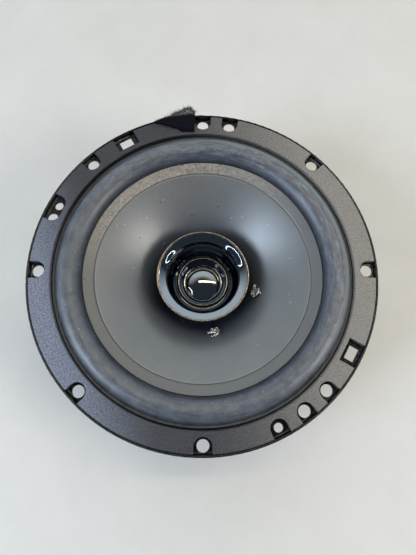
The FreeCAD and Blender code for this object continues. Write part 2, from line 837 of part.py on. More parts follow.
def make_tweeter_mount():
    """Spacer on the pole's end, bolt through the pole, and the washer under the bolt's head."""
    bore = S.bolt_radius + S.glue_gap
    spacer = revolved(
        "tweeter_spacer",
        [
            (bore, -S.motor_depth - S.spigot_length),
            (S.spigot_radius, -S.motor_depth - S.spigot_length),
            (S.spigot_radius, -S.motor_depth),
            (S.spacer_radius, -S.motor_depth),
            (S.spacer_radius, -S.cup_bottom),
            (bore, -S.cup_bottom),
        ],
    )
    shelf = -yoke_back() + S.counterbore_depth
    washer = revolved(
        "tweeter_washer",
        [
            (bore, shelf - S.washer_thickness),
            (S.washer_radius, shelf - S.washer_thickness),
            (S.washer_radius, shelf),
            (bore, shelf),
        ],
    )
    for owner, start, bottom, reach in (
        (spacer, S.notch_start, -S.motor_depth - 4.0, Size(3.0)),
        (washer, S.notch_start, shelf - 2.0, S.washer_radius),
    ):
        place = turned(S.board_angle).multiply(shifted(start, -S.notch_width / 2, bottom))
        bite(owner, "Box", place, Length=reach, Width=S.notch_width, Height=9.0)
    under = shelf - S.washer_thickness
    bolt = revolved(
        "tweeter_bolt",
        [
            (0, under - S.bolt_head_height),
            (S.bolt_head, under - S.bolt_head_height),
            (S.bolt_head, under),
            (S.bolt_radius, under),
            (S.bolt_radius, -S.bolt_end),
            (0, -S.bolt_end),
        ],
    )
    corner = S.hex_flats / 2 / math.cos(math.radians(30))
    pocket(
        bolt,
        "XY_Plane",
        lambda sketch: outline(sketch, [polar(corner, 60 * k) for k in range(6)]),
        upwards=True,
        depth=1.6,
        offset=shifted(z=under - S.bolt_head_height),
    )


# ---- Terminals ---------------------------------------------------------------------------------------


def rounded_box(x0, x1, y0, y1, corner):
    return [
        (x0 + corner, y0),
        (x1 - corner, y0, corner),
        (x1, y0 + corner),
        (x1, y1 - corner, corner),
        (x1 - corner, y1),
        (x0 + corner, y1, corner),
        (x0, y1 - corner),
        (x0, y0 + corner, corner),
    ]


def draw_board_holes(sketch):
    """Slots for the two tabs' lugs and holes for the two rivets."""
    for y, width in ((S.tab_offset, S.wide_tab), (-S.tab_offset, S.narrow_tab)):
        half = width * S.lug_share / 2 + S.fit
        thick = S.tab_thickness / 2 + S.fit
        outline(
            sketch,
            [
                (S.tab_place - half, y - thick),
                (S.tab_place + half, y - thick),
                (S.tab_place + half, y + thick),
                (S.tab_place - half, y + thick),
            ],
        )
    for x in (S.board_rivet_low, S.board_rivet_high):
        circle(sketch, (x, 0), S.board_rivet + S.fit)


def make_terminal_board():
    half, wide = S.board_half, S.board_half_width
    board = padded(
        "terminal_board",
        "XY_Plane",
        S.board_thickness,
        rounded_box(-half, half, -wide, wide, S.board_corner),
        place=BOARD,
        offset=shifted(z=S.board_gap),
    )
    pocket(board, "XY_Plane", draw_board_holes, upwards=True)


def make_tab(name, width, side):
    """A spade tab outside the board, with a narrow lug that reaches through it into the basket."""
    face, half = S.board_gap + S.board_thickness, width / 2
    lug, cut, middle = width * S.lug_share / 2, S.tab_chamfer, S.tab_place
    tab = padded(
        name,
        "XZ_Plane",
        S.tab_thickness,
        [
            (middle - lug, -S.lug),
            (middle + lug, -S.lug),
            (middle + lug, face),
            (middle + half, face),
            (middle + half, face + S.tab_height - cut),
            (middle + half - cut, face + S.tab_height),
            (middle - half + cut, face + S.tab_height),
            (middle - half, face + S.tab_height - cut),
            (middle - half, face),
            (middle - lug, face),
        ],
        place=BOARD,
        offset=shifted(z=-S.tab_offset * side),
        both_ways=True,
    )
    eye = (middle, face + S.tab_height * 0.72)
    cut = pocket(
        tab,
        "XZ_Plane",
        lambda sketch: circle(sketch, eye, S.tab_eye),
        offset=shifted(z=-S.tab_offset * side),
        upwards=side > 0,
        depth=1.0,
    )
    cut.SideType = "Symmetric"


def make_board_rivets():
    face = S.board_gap + S.board_thickness
    inner = -S.steel - 0.15
    pieces = []
    for number, x in enumerate((S.board_rivet_low, S.board_rivet_high)):
        for part, radius, low, length in (
            ("rod", S.board_rivet, inner, face - inner),
            ("outer", S.board_rivet_head, face, Size(0.7)),
            ("inner", S.board_rivet_head, inner - 0.6, Size(0.6)),
        ):
            place = BOARD.multiply(shifted(x, 0, low))
            pieces.append(cylinder(f"board_rivet_{part}{number}", radius, length, place))
    fused("terminal_rivets", pieces)


def make_capacitor():
    can = new_body("crossover_capacitor", BOARD)
    sketch = sketch_on(can, "XZ_Plane")
    centre = (S.can_place, S.board_gap + S.board_thickness + S.can_radius)
    circle(sketch, centre, S.can_radius)
    pad = can.newObject("PartDesign::Pad", "can_pad")
    pad.Profile = sketch
    pad.setExpression("Length", S.can_length.text)
    pad.SideType = "Symmetric"
    doc.recompute()
    round_over = can.newObject("PartDesign::Fillet", "can_edges")
    round_over.Base = (pad, [])
    round_over.UseAllEdges = True
    round_over.setExpression("Radius", S.can_edge.text)
    can.Tip = round_over


# ---- Wiring ------------------------------------------------------------------------------------------


def on_board(x, y, z):
    return BOARD.multVec(V(x, y, z))


def make_tinsel_leads():
    """Flexible braids from the back of the cone to the lugs of the two terminals."""
    for name, angle, side in (
        ("tinsel_lead_positive", SIZES["positive_dab_angle"], 1),
        ("tinsel_lead_negative", SIZES["negative_dab_angle"], -1),
    ):
        lug = on_board(SIZES["tab_place"], SIZES["tab_offset"] * side, 0.3 - SIZES["lug"] - SIZES["tinsel"])
        sweep = SIZES["board_angle"] - angle
        points = [
            around(SIZES[place], angle + share * sweep, -SIZES[place + "_depth"])
            for place, share in (
                ("lead_start", 0.0),
                ("lead_bend", 0.02),
                ("lead_sag", 0.22),
                ("lead_rise", 0.52),
            )
        ]
        points.append(V(lug.x, lug.y, lug.z))
        wires(name, [wire_solid(points, SIZES["tinsel"], 6.0)])


def make_lead_joints():
    """Glued eyelets where the tinsel leads come through the cone and meet the voice coil's wires."""
    for name, angle in (
        ("lead_joint_positive", SIZES["positive_dab_angle"]),
        ("lead_joint_negative", SIZES["negative_dab_angle"]),
    ):
        radius = SIZES["dab_place"]
        lean = FreeCAD.Rotation(V(0, 1, 0), -cone_slope(radius))
        there = FreeCAD.Placement(V(radius, 0, cone_height(radius)), lean)
        dab = doc.addObject("Part::Ellipsoid", name)
        dab.Label = name
        dab.setExpression("Radius1", S.dab_height.text)
        dab.setExpression("Radius2", S.dab_width.text)
        dab.setExpression("Radius3", S.dab_length.text)
        dab.Placement = turned(angle).multiply(there)


def make_voice_coil_wires():
    """Lacquered wires that lie on the cone's face from the joints to the voice coil."""
    solids = []
    for angle in (SIZES["positive_dab_angle"], SIZES["negative_dab_angle"]):
        places = [
            (SIZES[place], angle + lean, cone_height(SIZES[place]) + SIZES["coil_wire_gap"])
            for place, lean in (("coil_wire_start", 0), ("coil_wire_middle", 3), ("coil_wire_end", 0))
        ]
        solids.append(wire_solid([around(*place) for place in places], SIZES["fine_wire"], 20.0))
    wires("voice_coil_wires", solids)


def make_capacitor_leads():
    x, z = SIZES["can_place"], SIZES["board_gap"] + SIZES["board_thickness"] + SIZES["can_radius"]
    end = SIZES["can_length"] / 2
    to_tab = [(x, end, z), (x, end + LEAD_STUB, z), *LEAD_TO_TAB]
    to_board = [(x, -end, z), (x, -end - LEAD_STUB, z), *LEAD_TO_BOARD]
    solids = [
        wire_solid([on_board(*point) for point in path], SIZES["component_wire"], 1.2)
        for path in (to_tab, to_board)
    ]
    wires("capacitor_leads", solids)


def make_tweeter_wires():
    """Two insulated wires: up the pole's bore, along the back plate's channel and up to the board."""
    angle, level = SIZES["board_angle"], SIZES["wire_in_channel"] - yoke_back().number
    for name, side in (("tweeter_wire_positive", 1), ("tweeter_wire_negative", -1)):
        aside = around(SIZES["wire_beside"] * side, angle + 90, 0)
        points = [
            around(radius, angle, height) + aside
            for radius, height in (
                (SIZES["wire_in_bore"], -SIZES["cup_bottom"] - SIZES["glue_gap"]),
                (SIZES["wire_in_bore"], level),
                (SIZES["wire_rise"], level),
                (SIZES["wire_rise"], -SIZES["wire_rise_depth"]),
            )
        ]
        outside, end = WIRE_ROUTES[name]
        points += [around(radius, degrees, -depth) for radius, degrees, depth in outside]
        wires(name, [wire_solid(points + [on_board(*end)], SIZES["hook_up_wire"], 3.0)])


# ---- Build, check and write --------------------------------------------------------------------------

for make in (
    make_basket,
    make_trim_ring,
    make_seal_scrap,
    make_surround,
    make_cone,
    make_spider,
    make_voice_coil,
    make_top_plate,
    make_magnet,
    make_yoke,
    make_frame_rivets,
    make_tweeter_housing,
    make_retaining_ring,
    make_tweeter_diaphragm,
    make_tweeter_motor,
    make_tweeter_mount,
    make_terminal_board,
    make_board_rivets,
    make_capacitor,
    make_tinsel_leads,
    make_lead_joints,
    make_voice_coil_wires,
    make_capacitor_leads,
    make_tweeter_wires,
):
    make()
make_tab("terminal_positive", S.wide_tab, 1)
make_tab("terminal_negative", S.narrow_tab, -1)
doc.recompute()

NODE_TYPES = ("PartDesign::Body", "Part::MultiFuse", "Part::Ellipsoid", "Part::Feature")
nodes = [item for item in doc.Objects if item.TypeId in NODE_TYPES]
failed = [item.Name for item in doc.Objects if {"Invalid", "Error"} & set(item.State)]
if failed:
    raise RuntimeError(f"objects failed: {failed}")
for node in nodes:
    if node.Shape.isNull() or not node.Shape.isValid() or not node.Shape.Solids:
        raise RuntimeError(f"{node.Label} has no valid solid")

os.makedirs("parts", exist_ok=True)
for node in nodes:
    node.Shape.exportStep(f"parts/{node.Label}.step")
print(f"{len(nodes)} nodes written")
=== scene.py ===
"""The looks of the coaxial car speaker: soft pieces, materials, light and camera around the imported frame."""

import json
import math
import random

import bmesh
import bpy
from mathutils import Matrix, Vector, noise

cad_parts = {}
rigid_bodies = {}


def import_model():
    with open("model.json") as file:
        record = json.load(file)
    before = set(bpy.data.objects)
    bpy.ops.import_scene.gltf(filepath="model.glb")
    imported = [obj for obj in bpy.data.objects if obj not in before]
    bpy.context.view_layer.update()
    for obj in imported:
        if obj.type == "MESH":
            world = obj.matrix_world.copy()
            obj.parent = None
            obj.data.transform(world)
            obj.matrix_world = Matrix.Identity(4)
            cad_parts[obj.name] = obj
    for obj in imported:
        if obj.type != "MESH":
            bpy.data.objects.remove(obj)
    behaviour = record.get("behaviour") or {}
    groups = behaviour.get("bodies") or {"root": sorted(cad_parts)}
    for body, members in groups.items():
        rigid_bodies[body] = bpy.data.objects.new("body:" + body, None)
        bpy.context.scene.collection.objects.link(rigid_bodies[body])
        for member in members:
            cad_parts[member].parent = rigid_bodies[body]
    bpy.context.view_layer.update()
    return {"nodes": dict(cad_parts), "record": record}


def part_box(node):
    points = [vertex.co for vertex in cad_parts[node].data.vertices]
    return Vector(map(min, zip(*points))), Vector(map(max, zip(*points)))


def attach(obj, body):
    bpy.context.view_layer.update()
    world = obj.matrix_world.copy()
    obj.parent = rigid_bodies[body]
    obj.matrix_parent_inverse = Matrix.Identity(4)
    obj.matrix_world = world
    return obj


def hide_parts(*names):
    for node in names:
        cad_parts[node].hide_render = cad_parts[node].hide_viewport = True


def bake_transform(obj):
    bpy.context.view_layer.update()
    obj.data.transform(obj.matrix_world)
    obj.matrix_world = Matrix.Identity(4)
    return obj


MM = 0.001
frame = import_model()
nodes = frame["nodes"]


# ---------------------------------------------------------------- places taken from the frame

def outer_radius(node):
    """The largest radius of a round node, in metres."""
    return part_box(node)[1].x


def top(node):
    """The height of a node's highest point, in metres."""
    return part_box(node)[1].z


def bottom(node):
    """The height of a node's lowest point, in metres."""
    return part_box(node)[0].z


FLOOR_GAP = 0.1 * MM
FLOOR_HEIGHT = bottom("yoke") - FLOOR_GAP
TURNED_UV = "Turned"


# ---------------------------------------------------------------- mesh helpers

def polar(radius, degrees, height=0.0):
    """The point at that radius and angle around the speaker's axis."""
    angle = math.radians(degrees)
    return Vector((radius * math.cos(angle), radius * math.sin(angle), height))


def new_piece(name, mesh, body, material):
    """A new smooth object of that mesh and material, riding on a body if one is given."""
    piece = bpy.data.objects.new(name, mesh)
    bpy.context.scene.collection.objects.link(piece)
    mesh.materials.append(material)
    mesh.polygons.foreach_set("use_smooth", [True] * len(mesh.polygons))
    if body:
        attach(piece, body)
    return piece


def lathe(name, shape, segments):
    """A mesh that turns a closed outline of (radius, height) points, in millimetres, around the speaker's
    axis. Its UV map holds the turn along U and the outline's length along V."""
    work = bmesh.new()
    rings = []
    for step in range(segments):
        degrees = 360 * step / segments
        rings.append([work.verts.new(polar(p.x * MM, degrees, p.y * MM)) for p in shape])
    lengths = [0.0]
    for a, b in zip(shape, shape[1:] + shape[:1]):
        lengths.append(lengths[-1] + (b - a).length)
    uv = work.loops.layers.uv.new(TURNED_UV)
    count = len(shape)
    for step in range(segments):
        here, there = rings[step], rings[(step + 1) % segments]
        for index in range(count):
            after = (index + 1) % count
            face = work.faces.new((here[index], there[index], there[after], here[after]))
            turns = (step, step + 1, step + 1, step)
            runs = (index, index, index + 1, index + 1)
            for loop, turn, run in zip(face.loops, turns, runs):
                loop[uv].uv = (turn / segments, lengths[run] * MM)
    return mesh_from(name, work)


def blend_round(piece):
    """Moves each point of a round piece onto the X axis at its radius, bakes the piece's transform into its
    mesh, and puts the points back.
    """
    places = [vertex.co.copy() for vertex in piece.data.vertices]
    for vertex in piece.data.vertices:
        vertex.co = Vector((vertex.co.xy.length, 0, 0))
    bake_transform(piece)
    for vertex, place in zip(piece.data.vertices, places):
        vertex.co = place


def smooth_path(name, points, resolution):
    """Points, in metres, along a smooth curve that is pulled towards the given points."""
    curve = bpy.data.curves.new(name, "CURVE")
    curve.dimensions = "3D"
    curve.resolution_u = resolution
    spline = curve.splines.new("NURBS")
    spline.points.add(len(points) - 1)
    for slot, point in zip(spline.points, points):
        slot.co = (*point, 1)
    spline.order_u = 3
    spline.use_endpoint_u = True
    holder = bpy.data.objects.new(name, curve)
    line = bpy.data.meshes.new_from_object(holder)
    places = [vertex.co.copy() for vertex in line.vertices]
    bpy.data.objects.remove(holder)
    bpy.data.curves.remove(curve)
    bpy.data.meshes.remove(line)
    return places


def strand(work, path, radius, sides, lobes=0, twist=0.0, taper=0.0):
    """Adds a tube along path to a bmesh. It may be lobed and twisted like a rope, or taper to its end."""
    across = Vector((0, 0, 1)) if abs((path[1] - path[0]).normalized().z) < 0.9 else Vector((1, 0, 0))
    ridge, shrink = 0.16, 0.1
    rings, travelled = [], 0.0
    for index, place in enumerate(path):
        along = (path[min(index + 1, len(path) - 1)] - path[max(index - 1, 0)]).normalized()
        across = (across - along * across.dot(along)).normalized()
        other = along.cross(across)
        travelled += (place - path[index - 1]).length if index else 0.0
        size = radius * (1 - taper * index / (len(path) - 1))
        ring = []
        for side in range(sides):
            angle = 2 * math.pi * side / sides
            lobe = 1 + (ridge * math.cos(lobes * angle) - shrink if lobes else 0.0)
            turn = angle + twist * travelled
            offset = across * math.cos(turn) + other * math.sin(turn)
            ring.append(work.verts.new(place + offset * size * lobe))
        rings.append(ring)
    for low, high in zip(rings, rings[1:]):
        for side in range(sides):
            after = (side + 1) % sides
            work.faces.new((low[side], low[after], high[after], high[side]))
    work.faces.new(rings[0][::-1])
    work.faces.new(rings[-1])


def mesh_from(name, work):
    """A mesh from a bmesh, which is freed."""
    mesh = bpy.data.meshes.new(name)
    bmesh.ops.recalc_face_normals(work, faces=work.faces)
    work.to_mesh(mesh)
    work.free()
    return mesh


# ---------------------------------------------------------------- material helpers

class Finish:
    """A material: one principled shader, and short calls that add its texture nodes."""

    def __init__(self, name, colour, roughness, **values):
        self.material = bpy.data.materials.new(name)
        self.material.use_nodes = True
        self.tree = self.material.node_tree
        self.shader = self.tree.nodes["Principled BSDF"]
        self.shader.inputs["Base Color"].default_value = (*colour, 1)
        self.shader.inputs["Roughness"].default_value = roughness
        for socket, value in values.items():
            self.shader.inputs[socket.replace("_", " ").title().replace("Ior", "IOR")].default_value = value

    def node(self, kind, **settings):
        """A new shader node of that kind, with those settings."""
        node = self.tree.nodes.new("ShaderNode" + kind)
        for key, value in settings.items():
            setattr(node, key, value)
        return node

    def link(self, source, target):
        """Feeds the target socket from the source socket."""
        self.tree.links.new(source, target)

    def coordinates(self, stretch=(1, 1, 1), uv=False):
        """Object coordinates in millimetres, stretched; or the turned UV map."""
        if uv:
            source = self.node("UVMap", uv_map=TURNED_UV).outputs["UV"]
        else:
            source = self.node("TexCoord").outputs["Object"]
        scale = self.node("Mapping")
        scale.inputs["Scale"].default_value = [s / MM for s in stretch] if not uv else stretch
        self.link(source, scale.inputs["Vector"])
        return scale.outputs["Vector"]

    def noise(self, scale, detail=3, roughness=0.55, distortion=0.0, place=None, seed=0.0):
        """Noise of that many features a millimetre, from 0 to 1."""
        node = self.node("TexNoise", noise_dimensions="4D")
        node.inputs["W"].default_value = seed
        node.inputs["Scale"].default_value = scale
        node.inputs["Detail"].default_value = detail
        node.inputs["Roughness"].default_value = roughness
        node.inputs["Distortion"].default_value = distortion
        self.link(place or self.coordinates(), node.inputs["Vector"])
        return node.outputs["Fac"]

    def cells(self, scale, place=None):
        """Distance to the nearest of that many points a millimetre."""
        node = self.node("TexVoronoi")
        node.inputs["Scale"].default_value = scale
        self.link(place or self.coordinates(), node.inputs["Vector"])
        return node.outputs["Distance"]

    def band(self, value, low, high, **settings):
        """0 to 1 as a value goes from low to high."""
        node = self.node("MapRange", **settings)
        node.inputs["From Min"].default_value = low
        node.inputs["From Max"].default_value = high
        self.link(value, node.inputs["Value"])
        return node.outputs["Result"]

    def radius(self, low, high):
        """0 to 1 across a band of radii around the axis, in millimetres."""
        flat = self.node("VectorMath", operation="MULTIPLY")
        flat.inputs[1].default_value = (1, 1, 0)
        self.link(self.coordinates(), flat.inputs[0])
        length = self.node("VectorMath", operation="LENGTH")
        self.link(flat.outputs[0], length.inputs[0])
        return self.band(length.outputs["Value"], low, high)

    def across(self, azimuth, low, high):
        """0 to 1 across the speaker towards an azimuth, between two distances in millimetres."""
        dot = self.node("VectorMath", operation="DOT_PRODUCT")
        dot.inputs[1].default_value = polar(1, azimuth)
        self.link(self.coordinates(), dot.inputs[0])
        return self.band(dot.outputs["Value"], low, high, interpolation_type="SMOOTHSTEP")

    def stripes(self, scale, axis, distortion=0.0):
        """Smooth bands of that many a millimetre, from 0 to 1."""
        node = self.node("TexWave", bands_direction=axis)
        node.inputs["Scale"].default_value = scale
        node.inputs["Distortion"].default_value = distortion
        self.link(self.coordinates(), node.inputs["Vector"])
        return node.outputs["Fac"]

    def ramp(self, value, *stops):
        """value through a ramp of (position, level) stops; a level is a grey or a colour."""
        node = self.node("ValToRGB")
        elements = node.color_ramp.elements
        while len(elements) < len(stops):
            elements.new(0.5)
        for element, (position, level) in zip(elements, stops):
            element.position = position
            element.color = (level, level, level, 1) if isinstance(level, (int, float)) else (*level, 1)
        self.link(value, node.inputs["Fac"])
        return node.outputs["Color"]

    def multiply(self, first, second):
        """The product of two values, each a socket or a number."""
        return self.maths("MULTIPLY", first, second)

    def maths(self, operation, first, second):
        """The result of a math operation on two values, each a socket or a number."""
        node = self.node("Math", operation=operation)
        for socket, value in zip(node.inputs, (first, second)):
            if isinstance(value, (int, float)):
                socket.default_value = value
            else:
                self.link(value, socket)
        return node.outputs[0]

    def mix(self, share, first, second, blend="MIX"):
        """Two colours mixed, with that share of the second. Each value is a socket, a number or a colour."""
        node = self.node("Mix", data_type="RGBA", blend_type=blend)
        for index, value in ((0, share), (6, first), (7, second)):
            if isinstance(value, (int, float)):
                node.inputs[index].default_value = value
            elif isinstance(value, tuple):
                node.inputs[index].default_value = (*value, 1)
            else:
                self.link(value, node.inputs[index])
        return node.outputs[2]

    def colour(self, source):
        """Feeds the surface's colour."""
        self.link(source, self.shader.inputs["Base Color"])

    def roughness(self, source):
        """Feeds the surface's roughness."""
        self.link(source, self.shader.inputs["Roughness"])

    def bump(self, height, depth):
        """Raises the surface by up to depth millimetres, on top of any bump it already has."""
        node = self.node("Bump")
        node.inputs["Strength"].default_value = 1.0
        node.inputs["Distance"].default_value = depth * MM
        before = self.shader.inputs["Normal"].links
        if before:
            self.link(before[0].from_socket, node.inputs["Normal"])
        self.link(height, node.inputs["Height"])
        self.link(node.outputs["Normal"], self.shader.inputs["Normal"])


def finish_node(finish, name):
    """Gives a CAD node a material."""
    slots = nodes[name].material_slots
    if not slots:
        nodes[name].data.materials.append(finish.material)
    for slot in slots:
        slot.material = finish.material


# ---------------------------------------------------------------- materials

def basket_paint():
    """Black paint on pressed steel, with thin spots, a slight orange peel and an uneven gloss."""
    f = Finish("Basket paint", (0.02, 0.02, 0.021), 0.3, specular_ior_level=0.35)
    thin_spots = f.noise(0.7, detail=6, roughness=0.7)
    f.colour(f.ramp(thin_spots, (0.4, (0.002, 0.002, 0.003)), (0.75, (0.010, 0.010, 0.010))))
    f.roughness(f.ramp(f.noise(0.35, detail=4), (0.3, 0.16), (0.7, 0.34)))
    f.bump(f.noise(1.1, detail=2), 0.05)
    return f


def grained_plastic():
    """Moulded black plastic with a fine grain whose tops are rubbed paler. A warm painted sheen lies on it
    towards the right, and a bluish painted sheen towards the lower left, both thickest on the grain's tops."""
    f = Finish("Grained plastic", (0.02, 0.02, 0.021), 0.42, specular_ior_level=0.6)
    crevice, rubbed = (0.002, 0.002, 0.005), (0.029, 0.029, 0.038)
    warm_sheen_colour, cool_sheen_colour = (0.30, 0.272, 0.238), (0.23, 0.255, 0.345)
    grain_height = f.noise(1.45, detail=4, roughness=0.68, distortion=0.1)
    fine = f.noise(5.0, detail=2, roughness=0.5, seed=3.0)
    base = f.ramp(grain_height, (0.40, crevice), (0.62, rubbed))
    # painted warm sheen towards the right, strongest on the grain's tops
    dust_and_sheen = f.multiply(f.across(8, -12, 74), f.ramp(grain_height, (0.38, 0.45), (0.62, 1.0)))
    # painted bluish sheen towards the lower left, strongest on the grain's tops
    cool_sheen = f.multiply(f.across(200, 40, 80), f.ramp(grain_height, (0.4, 0.3), (0.6, 1.0)))
    base = f.mix(dust_and_sheen, base, warm_sheen_colour)
    f.colour(f.mix(cool_sheen, base, cool_sheen_colour))
    f.roughness(f.ramp(fine, (0.3, 0.34), (0.7, 0.48)))
    f.bump(grain_height, 0.55)
    f.bump(fine, 0.05)
    return f


def surround_rubber():
    """Blue-grey rubber with a mottle, scuffs that run around it and pale specks. Painted shade makes its inner
    foot darker and bluer and the crease at its lip nearly black, and a painted highlight brightens the roll's
    crown and its outer flank at the upper right."""
    f = Finish("Surround rubber", (0.045, 0.052, 0.068), 0.44, ior=1.55, specular_ior_level=0.9)
    foot, lip, flank_start, flank_end = 57, 70.8, 65, 70.2
    scuff_grey, flank_highlight_grey, speck_grey = (0.17, 0.187, 0.217), (0.20, 0.225, 0.245), (0.30, 0.31, 0.33)
    around = f.coordinates((60, 900, 1), uv=True)
    scuff = f.noise(1.0, detail=4, roughness=0.7, distortion=0.6, place=around)
    mottle = f.noise(0.16, detail=5, roughness=0.65, distortion=0.8)
    base = f.ramp(mottle, (0.38, (0.024, 0.030, 0.044)), (0.62, (0.062, 0.071, 0.090)))
    scuffed_side = f.ramp(f.across(48, -30, 70), (0.0, 0.25), (1.0, 0.9))
    rubbed = f.multiply(f.ramp(scuff, (0.49, 0.0), (0.68, 1.0)), scuffed_side)
    base = f.mix(rubbed, base, scuff_grey)
    # painted shading across the roll: bluer shade at the inner foot, a painted highlight on the crown,
    # near-black painted shade in the crease at the lip
    painted_roll_shading = f.ramp(f.radius(foot, lip), (0.0, (0.18, 0.22, 0.33)), (0.23, (0.80, 0.84, 0.92)), (0.56, 1.15),
                   (0.79, 1.0), (0.93, 0.6), (1.0, 0.1))
    base = f.mix(1.0, base, painted_roll_shading, "MULTIPLY")
    # painted highlight on the outer flank towards the upper right
    flank_highlight = f.ramp(f.radius(flank_start, flank_end), (0.2, 0.0), (0.6, 1.0), (0.85, 1.0), (1.0, 0.0))
    base = f.mix(f.multiply(flank_highlight, f.across(38, 5, 70)), base, flank_highlight_grey)
    speck = f.ramp(f.cells(0.3), (0.045, 1.0), (0.08, 0.0))
    f.colour(f.mix(speck, base, speck_grey))
    f.roughness(f.ramp(scuff, (0.35, 0.40), (0.7, 0.56)))
    f.bump(f.noise(1.3, detail=3, roughness=0.6), 0.05)
    f.bump(scuff, 0.04)
    return f


def cone_plastic():
    """Matte grey moulded plastic. Its border band is rougher, and paler and warmer in clumpy patches towards
    the top, partly dust and partly painted sheen; its groove is painted dark purplish as shade. The neck is
    darkened to a deep blue as painted shade, where the tweeter shades it. There are pale specks, and dark ones
    at the upper left."""
    f = Finish("Cone plastic", (0.075, 0.08, 0.085), 0.42, ior=1.6, specular_ior_level=1.0)
    warm_dust_and_sheen, thin_dust_and_sheen, groove_shade_colour = (0.34, 0.29, 0.235), (0.20, 0.185, 0.165), (0.020, 0.016, 0.023)
    band_start, band_full = 52.2, 52.9
    groove_start, groove_end = 51.9, 53.0
    neck_shade_start, neck_shade_end = 22, 36
    border_rough, groove_rough = (0.48, 0.48, 0.48), (0.95, 0.95, 0.95)
    fine = f.noise(2.2, detail=4, roughness=0.6)
    cloud = f.noise(0.07, detail=3, roughness=0.6, distortion=0.5, seed=2.0)
    face = f.ramp(cloud, (0.35, (0.078, 0.087, 0.094)), (0.65, (0.095, 0.101, 0.105)))
    border = f.ramp(fine, (0.3, (0.044, 0.047, 0.050)), (0.7, (0.070, 0.071, 0.072)))
    band = f.ramp(f.radius(band_start, band_full), (0.2, 0.0), (0.8, 1.0))
    clumps = f.noise(0.9, detail=6, roughness=0.75, seed=4.0)
    # warm clumpy patches towards the top: partly dust, partly painted sheen
    dust_and_sheen = f.multiply(f.across(105, 8, 58), f.ramp(clumps, (0.38, 0.15), (0.62, 1.0)))
    border = f.mix(dust_and_sheen, border, warm_dust_and_sheen)
    face = f.mix(f.multiply(dust_and_sheen, 0.4), face, thin_dust_and_sheen)
    # painted shade in the turned groove
    groove = f.ramp(f.radius(groove_start, groove_end), (0.16, 0.0), (0.28, 1.0), (0.50, 1.0), (0.66, 0.0))
    base = f.mix(band, face, border)
    base = f.mix(groove, base, groove_shade_colour)
    # painted shade around the neck, where the tweeter shades the cone
    painted_neck_shade = f.ramp(f.radius(neck_shade_start, neck_shade_end), (0.15, (0.10, 0.13, 0.24)), (0.6, (0.70, 0.73, 0.80)),
                   (1.0, (1.0, 1.0, 1.0)))
    base = f.mix(1.0, base, painted_neck_shade, "MULTIPLY")
    pale = f.ramp(f.cells(0.16), (0.045, 1.0), (0.06, 0.0))
    dark = f.ramp(f.cells(0.15, f.coordinates((1, 1.1, 1))), (0.07, 1.0), (0.085, 0.0))
    dark = f.multiply(dark, f.ramp(f.across(125, 5, 30), (0.0, 0.0), (0.2, 1.0)))
    base = f.mix(pale, base, (0.36, 0.36, 0.36))
    f.colour(f.mix(dark, base, (0.01, 0.01, 0.012)))
    rough = f.mix(band, f.ramp(fine, (0.3, 0.38), (0.7, 0.43)), border_rough)
    f.roughness(f.mix(groove, rough, groove_rough))
    f.bump(fine, 0.03)
    return f


def polished(name, colour, roughness, dust_and_sheen):
    """A bright metallised skin with faint moulding waves, and dust that dulls it in spots."""
    f = Finish(name, colour, roughness, metallic=1.0)
    grime = f.ramp(f.noise(3.2, detail=5, roughness=0.7), (0.60, 0.0), (0.78, dust_and_sheen))
    f.colour(f.mix(grime, colour, tuple(value * 0.6 for value in colour)))
    wear = f.noise(0.5, detail=4, roughness=0.6)
    f.roughness(f.ramp(wear, (0.3, roughness * 0.8), (0.75, roughness * 1.5)))
    f.bump(f.noise(0.12, detail=1), 0.03)
    return f


def felt_cloth():
    """Black needled felt, pressed flat on the ring and grey with loose fibres past the rim."""
    f = Finish("Felt", (0.01, 0.01, 0.011), 0.95, specular_ior_level=0.12)
    fluff = f.noise(1.7, detail=4, roughness=0.7)
    pressed = f.ramp(fluff, (0.35, (0.001, 0.001, 0.003)), (0.7, (0.006, 0.005, 0.011)))
    loose = f.ramp(fluff, (0.44, (0.002, 0.002, 0.002)), (0.56, (0.21, 0.215, 0.195)))
    rim_start, rim_end = 82.0, 83.4
    past_rim = f.ramp(f.radius(rim_start, rim_end), (0.0, 0.0), (1.0, 1.0))
    f.colour(f.mix(past_rim, pressed, loose))
    f.roughness(f.ramp(fluff, (0.3, 0.85), (0.7, 1.0)))
    f.bump(fluff, 0.3)
    return f


def ferrite_surface():
    """Charcoal ceramic with pores, pale scratches and a powdery grey bloom."""
    f = Finish("Ferrite", (0.035, 0.034, 0.033), 0.6)
    lumps, pits = f.noise(1.4, detail=6, roughness=0.7), f.cells(1.3)
    stone = f.ramp(lumps, (0.3, (0.018, 0.018, 0.018)), (0.7, (0.055, 0.054, 0.052)))
    pores = f.ramp(pits, (0.10, 0.9), (0.22, 0.0))
    lines = f.noise(1.0, detail=2, roughness=0.5, distortion=1.5, place=f.coordinates((0.2, 2.6, 0.2)))
    scratch = f.ramp(lines, (0.66, 0.0), (0.72, 0.5))
    base = f.mix(pores, stone, (0.006, 0.006, 0.006))
    f.colour(f.mix(scratch, base, (0.13, 0.13, 0.125)))
    f.roughness(f.ramp(f.noise(0.8, detail=4), (0.3, 0.5), (0.7, 0.75)))
    f.bump(lumps, 0.10)
    f.bump(pits, 0.08)
    return f


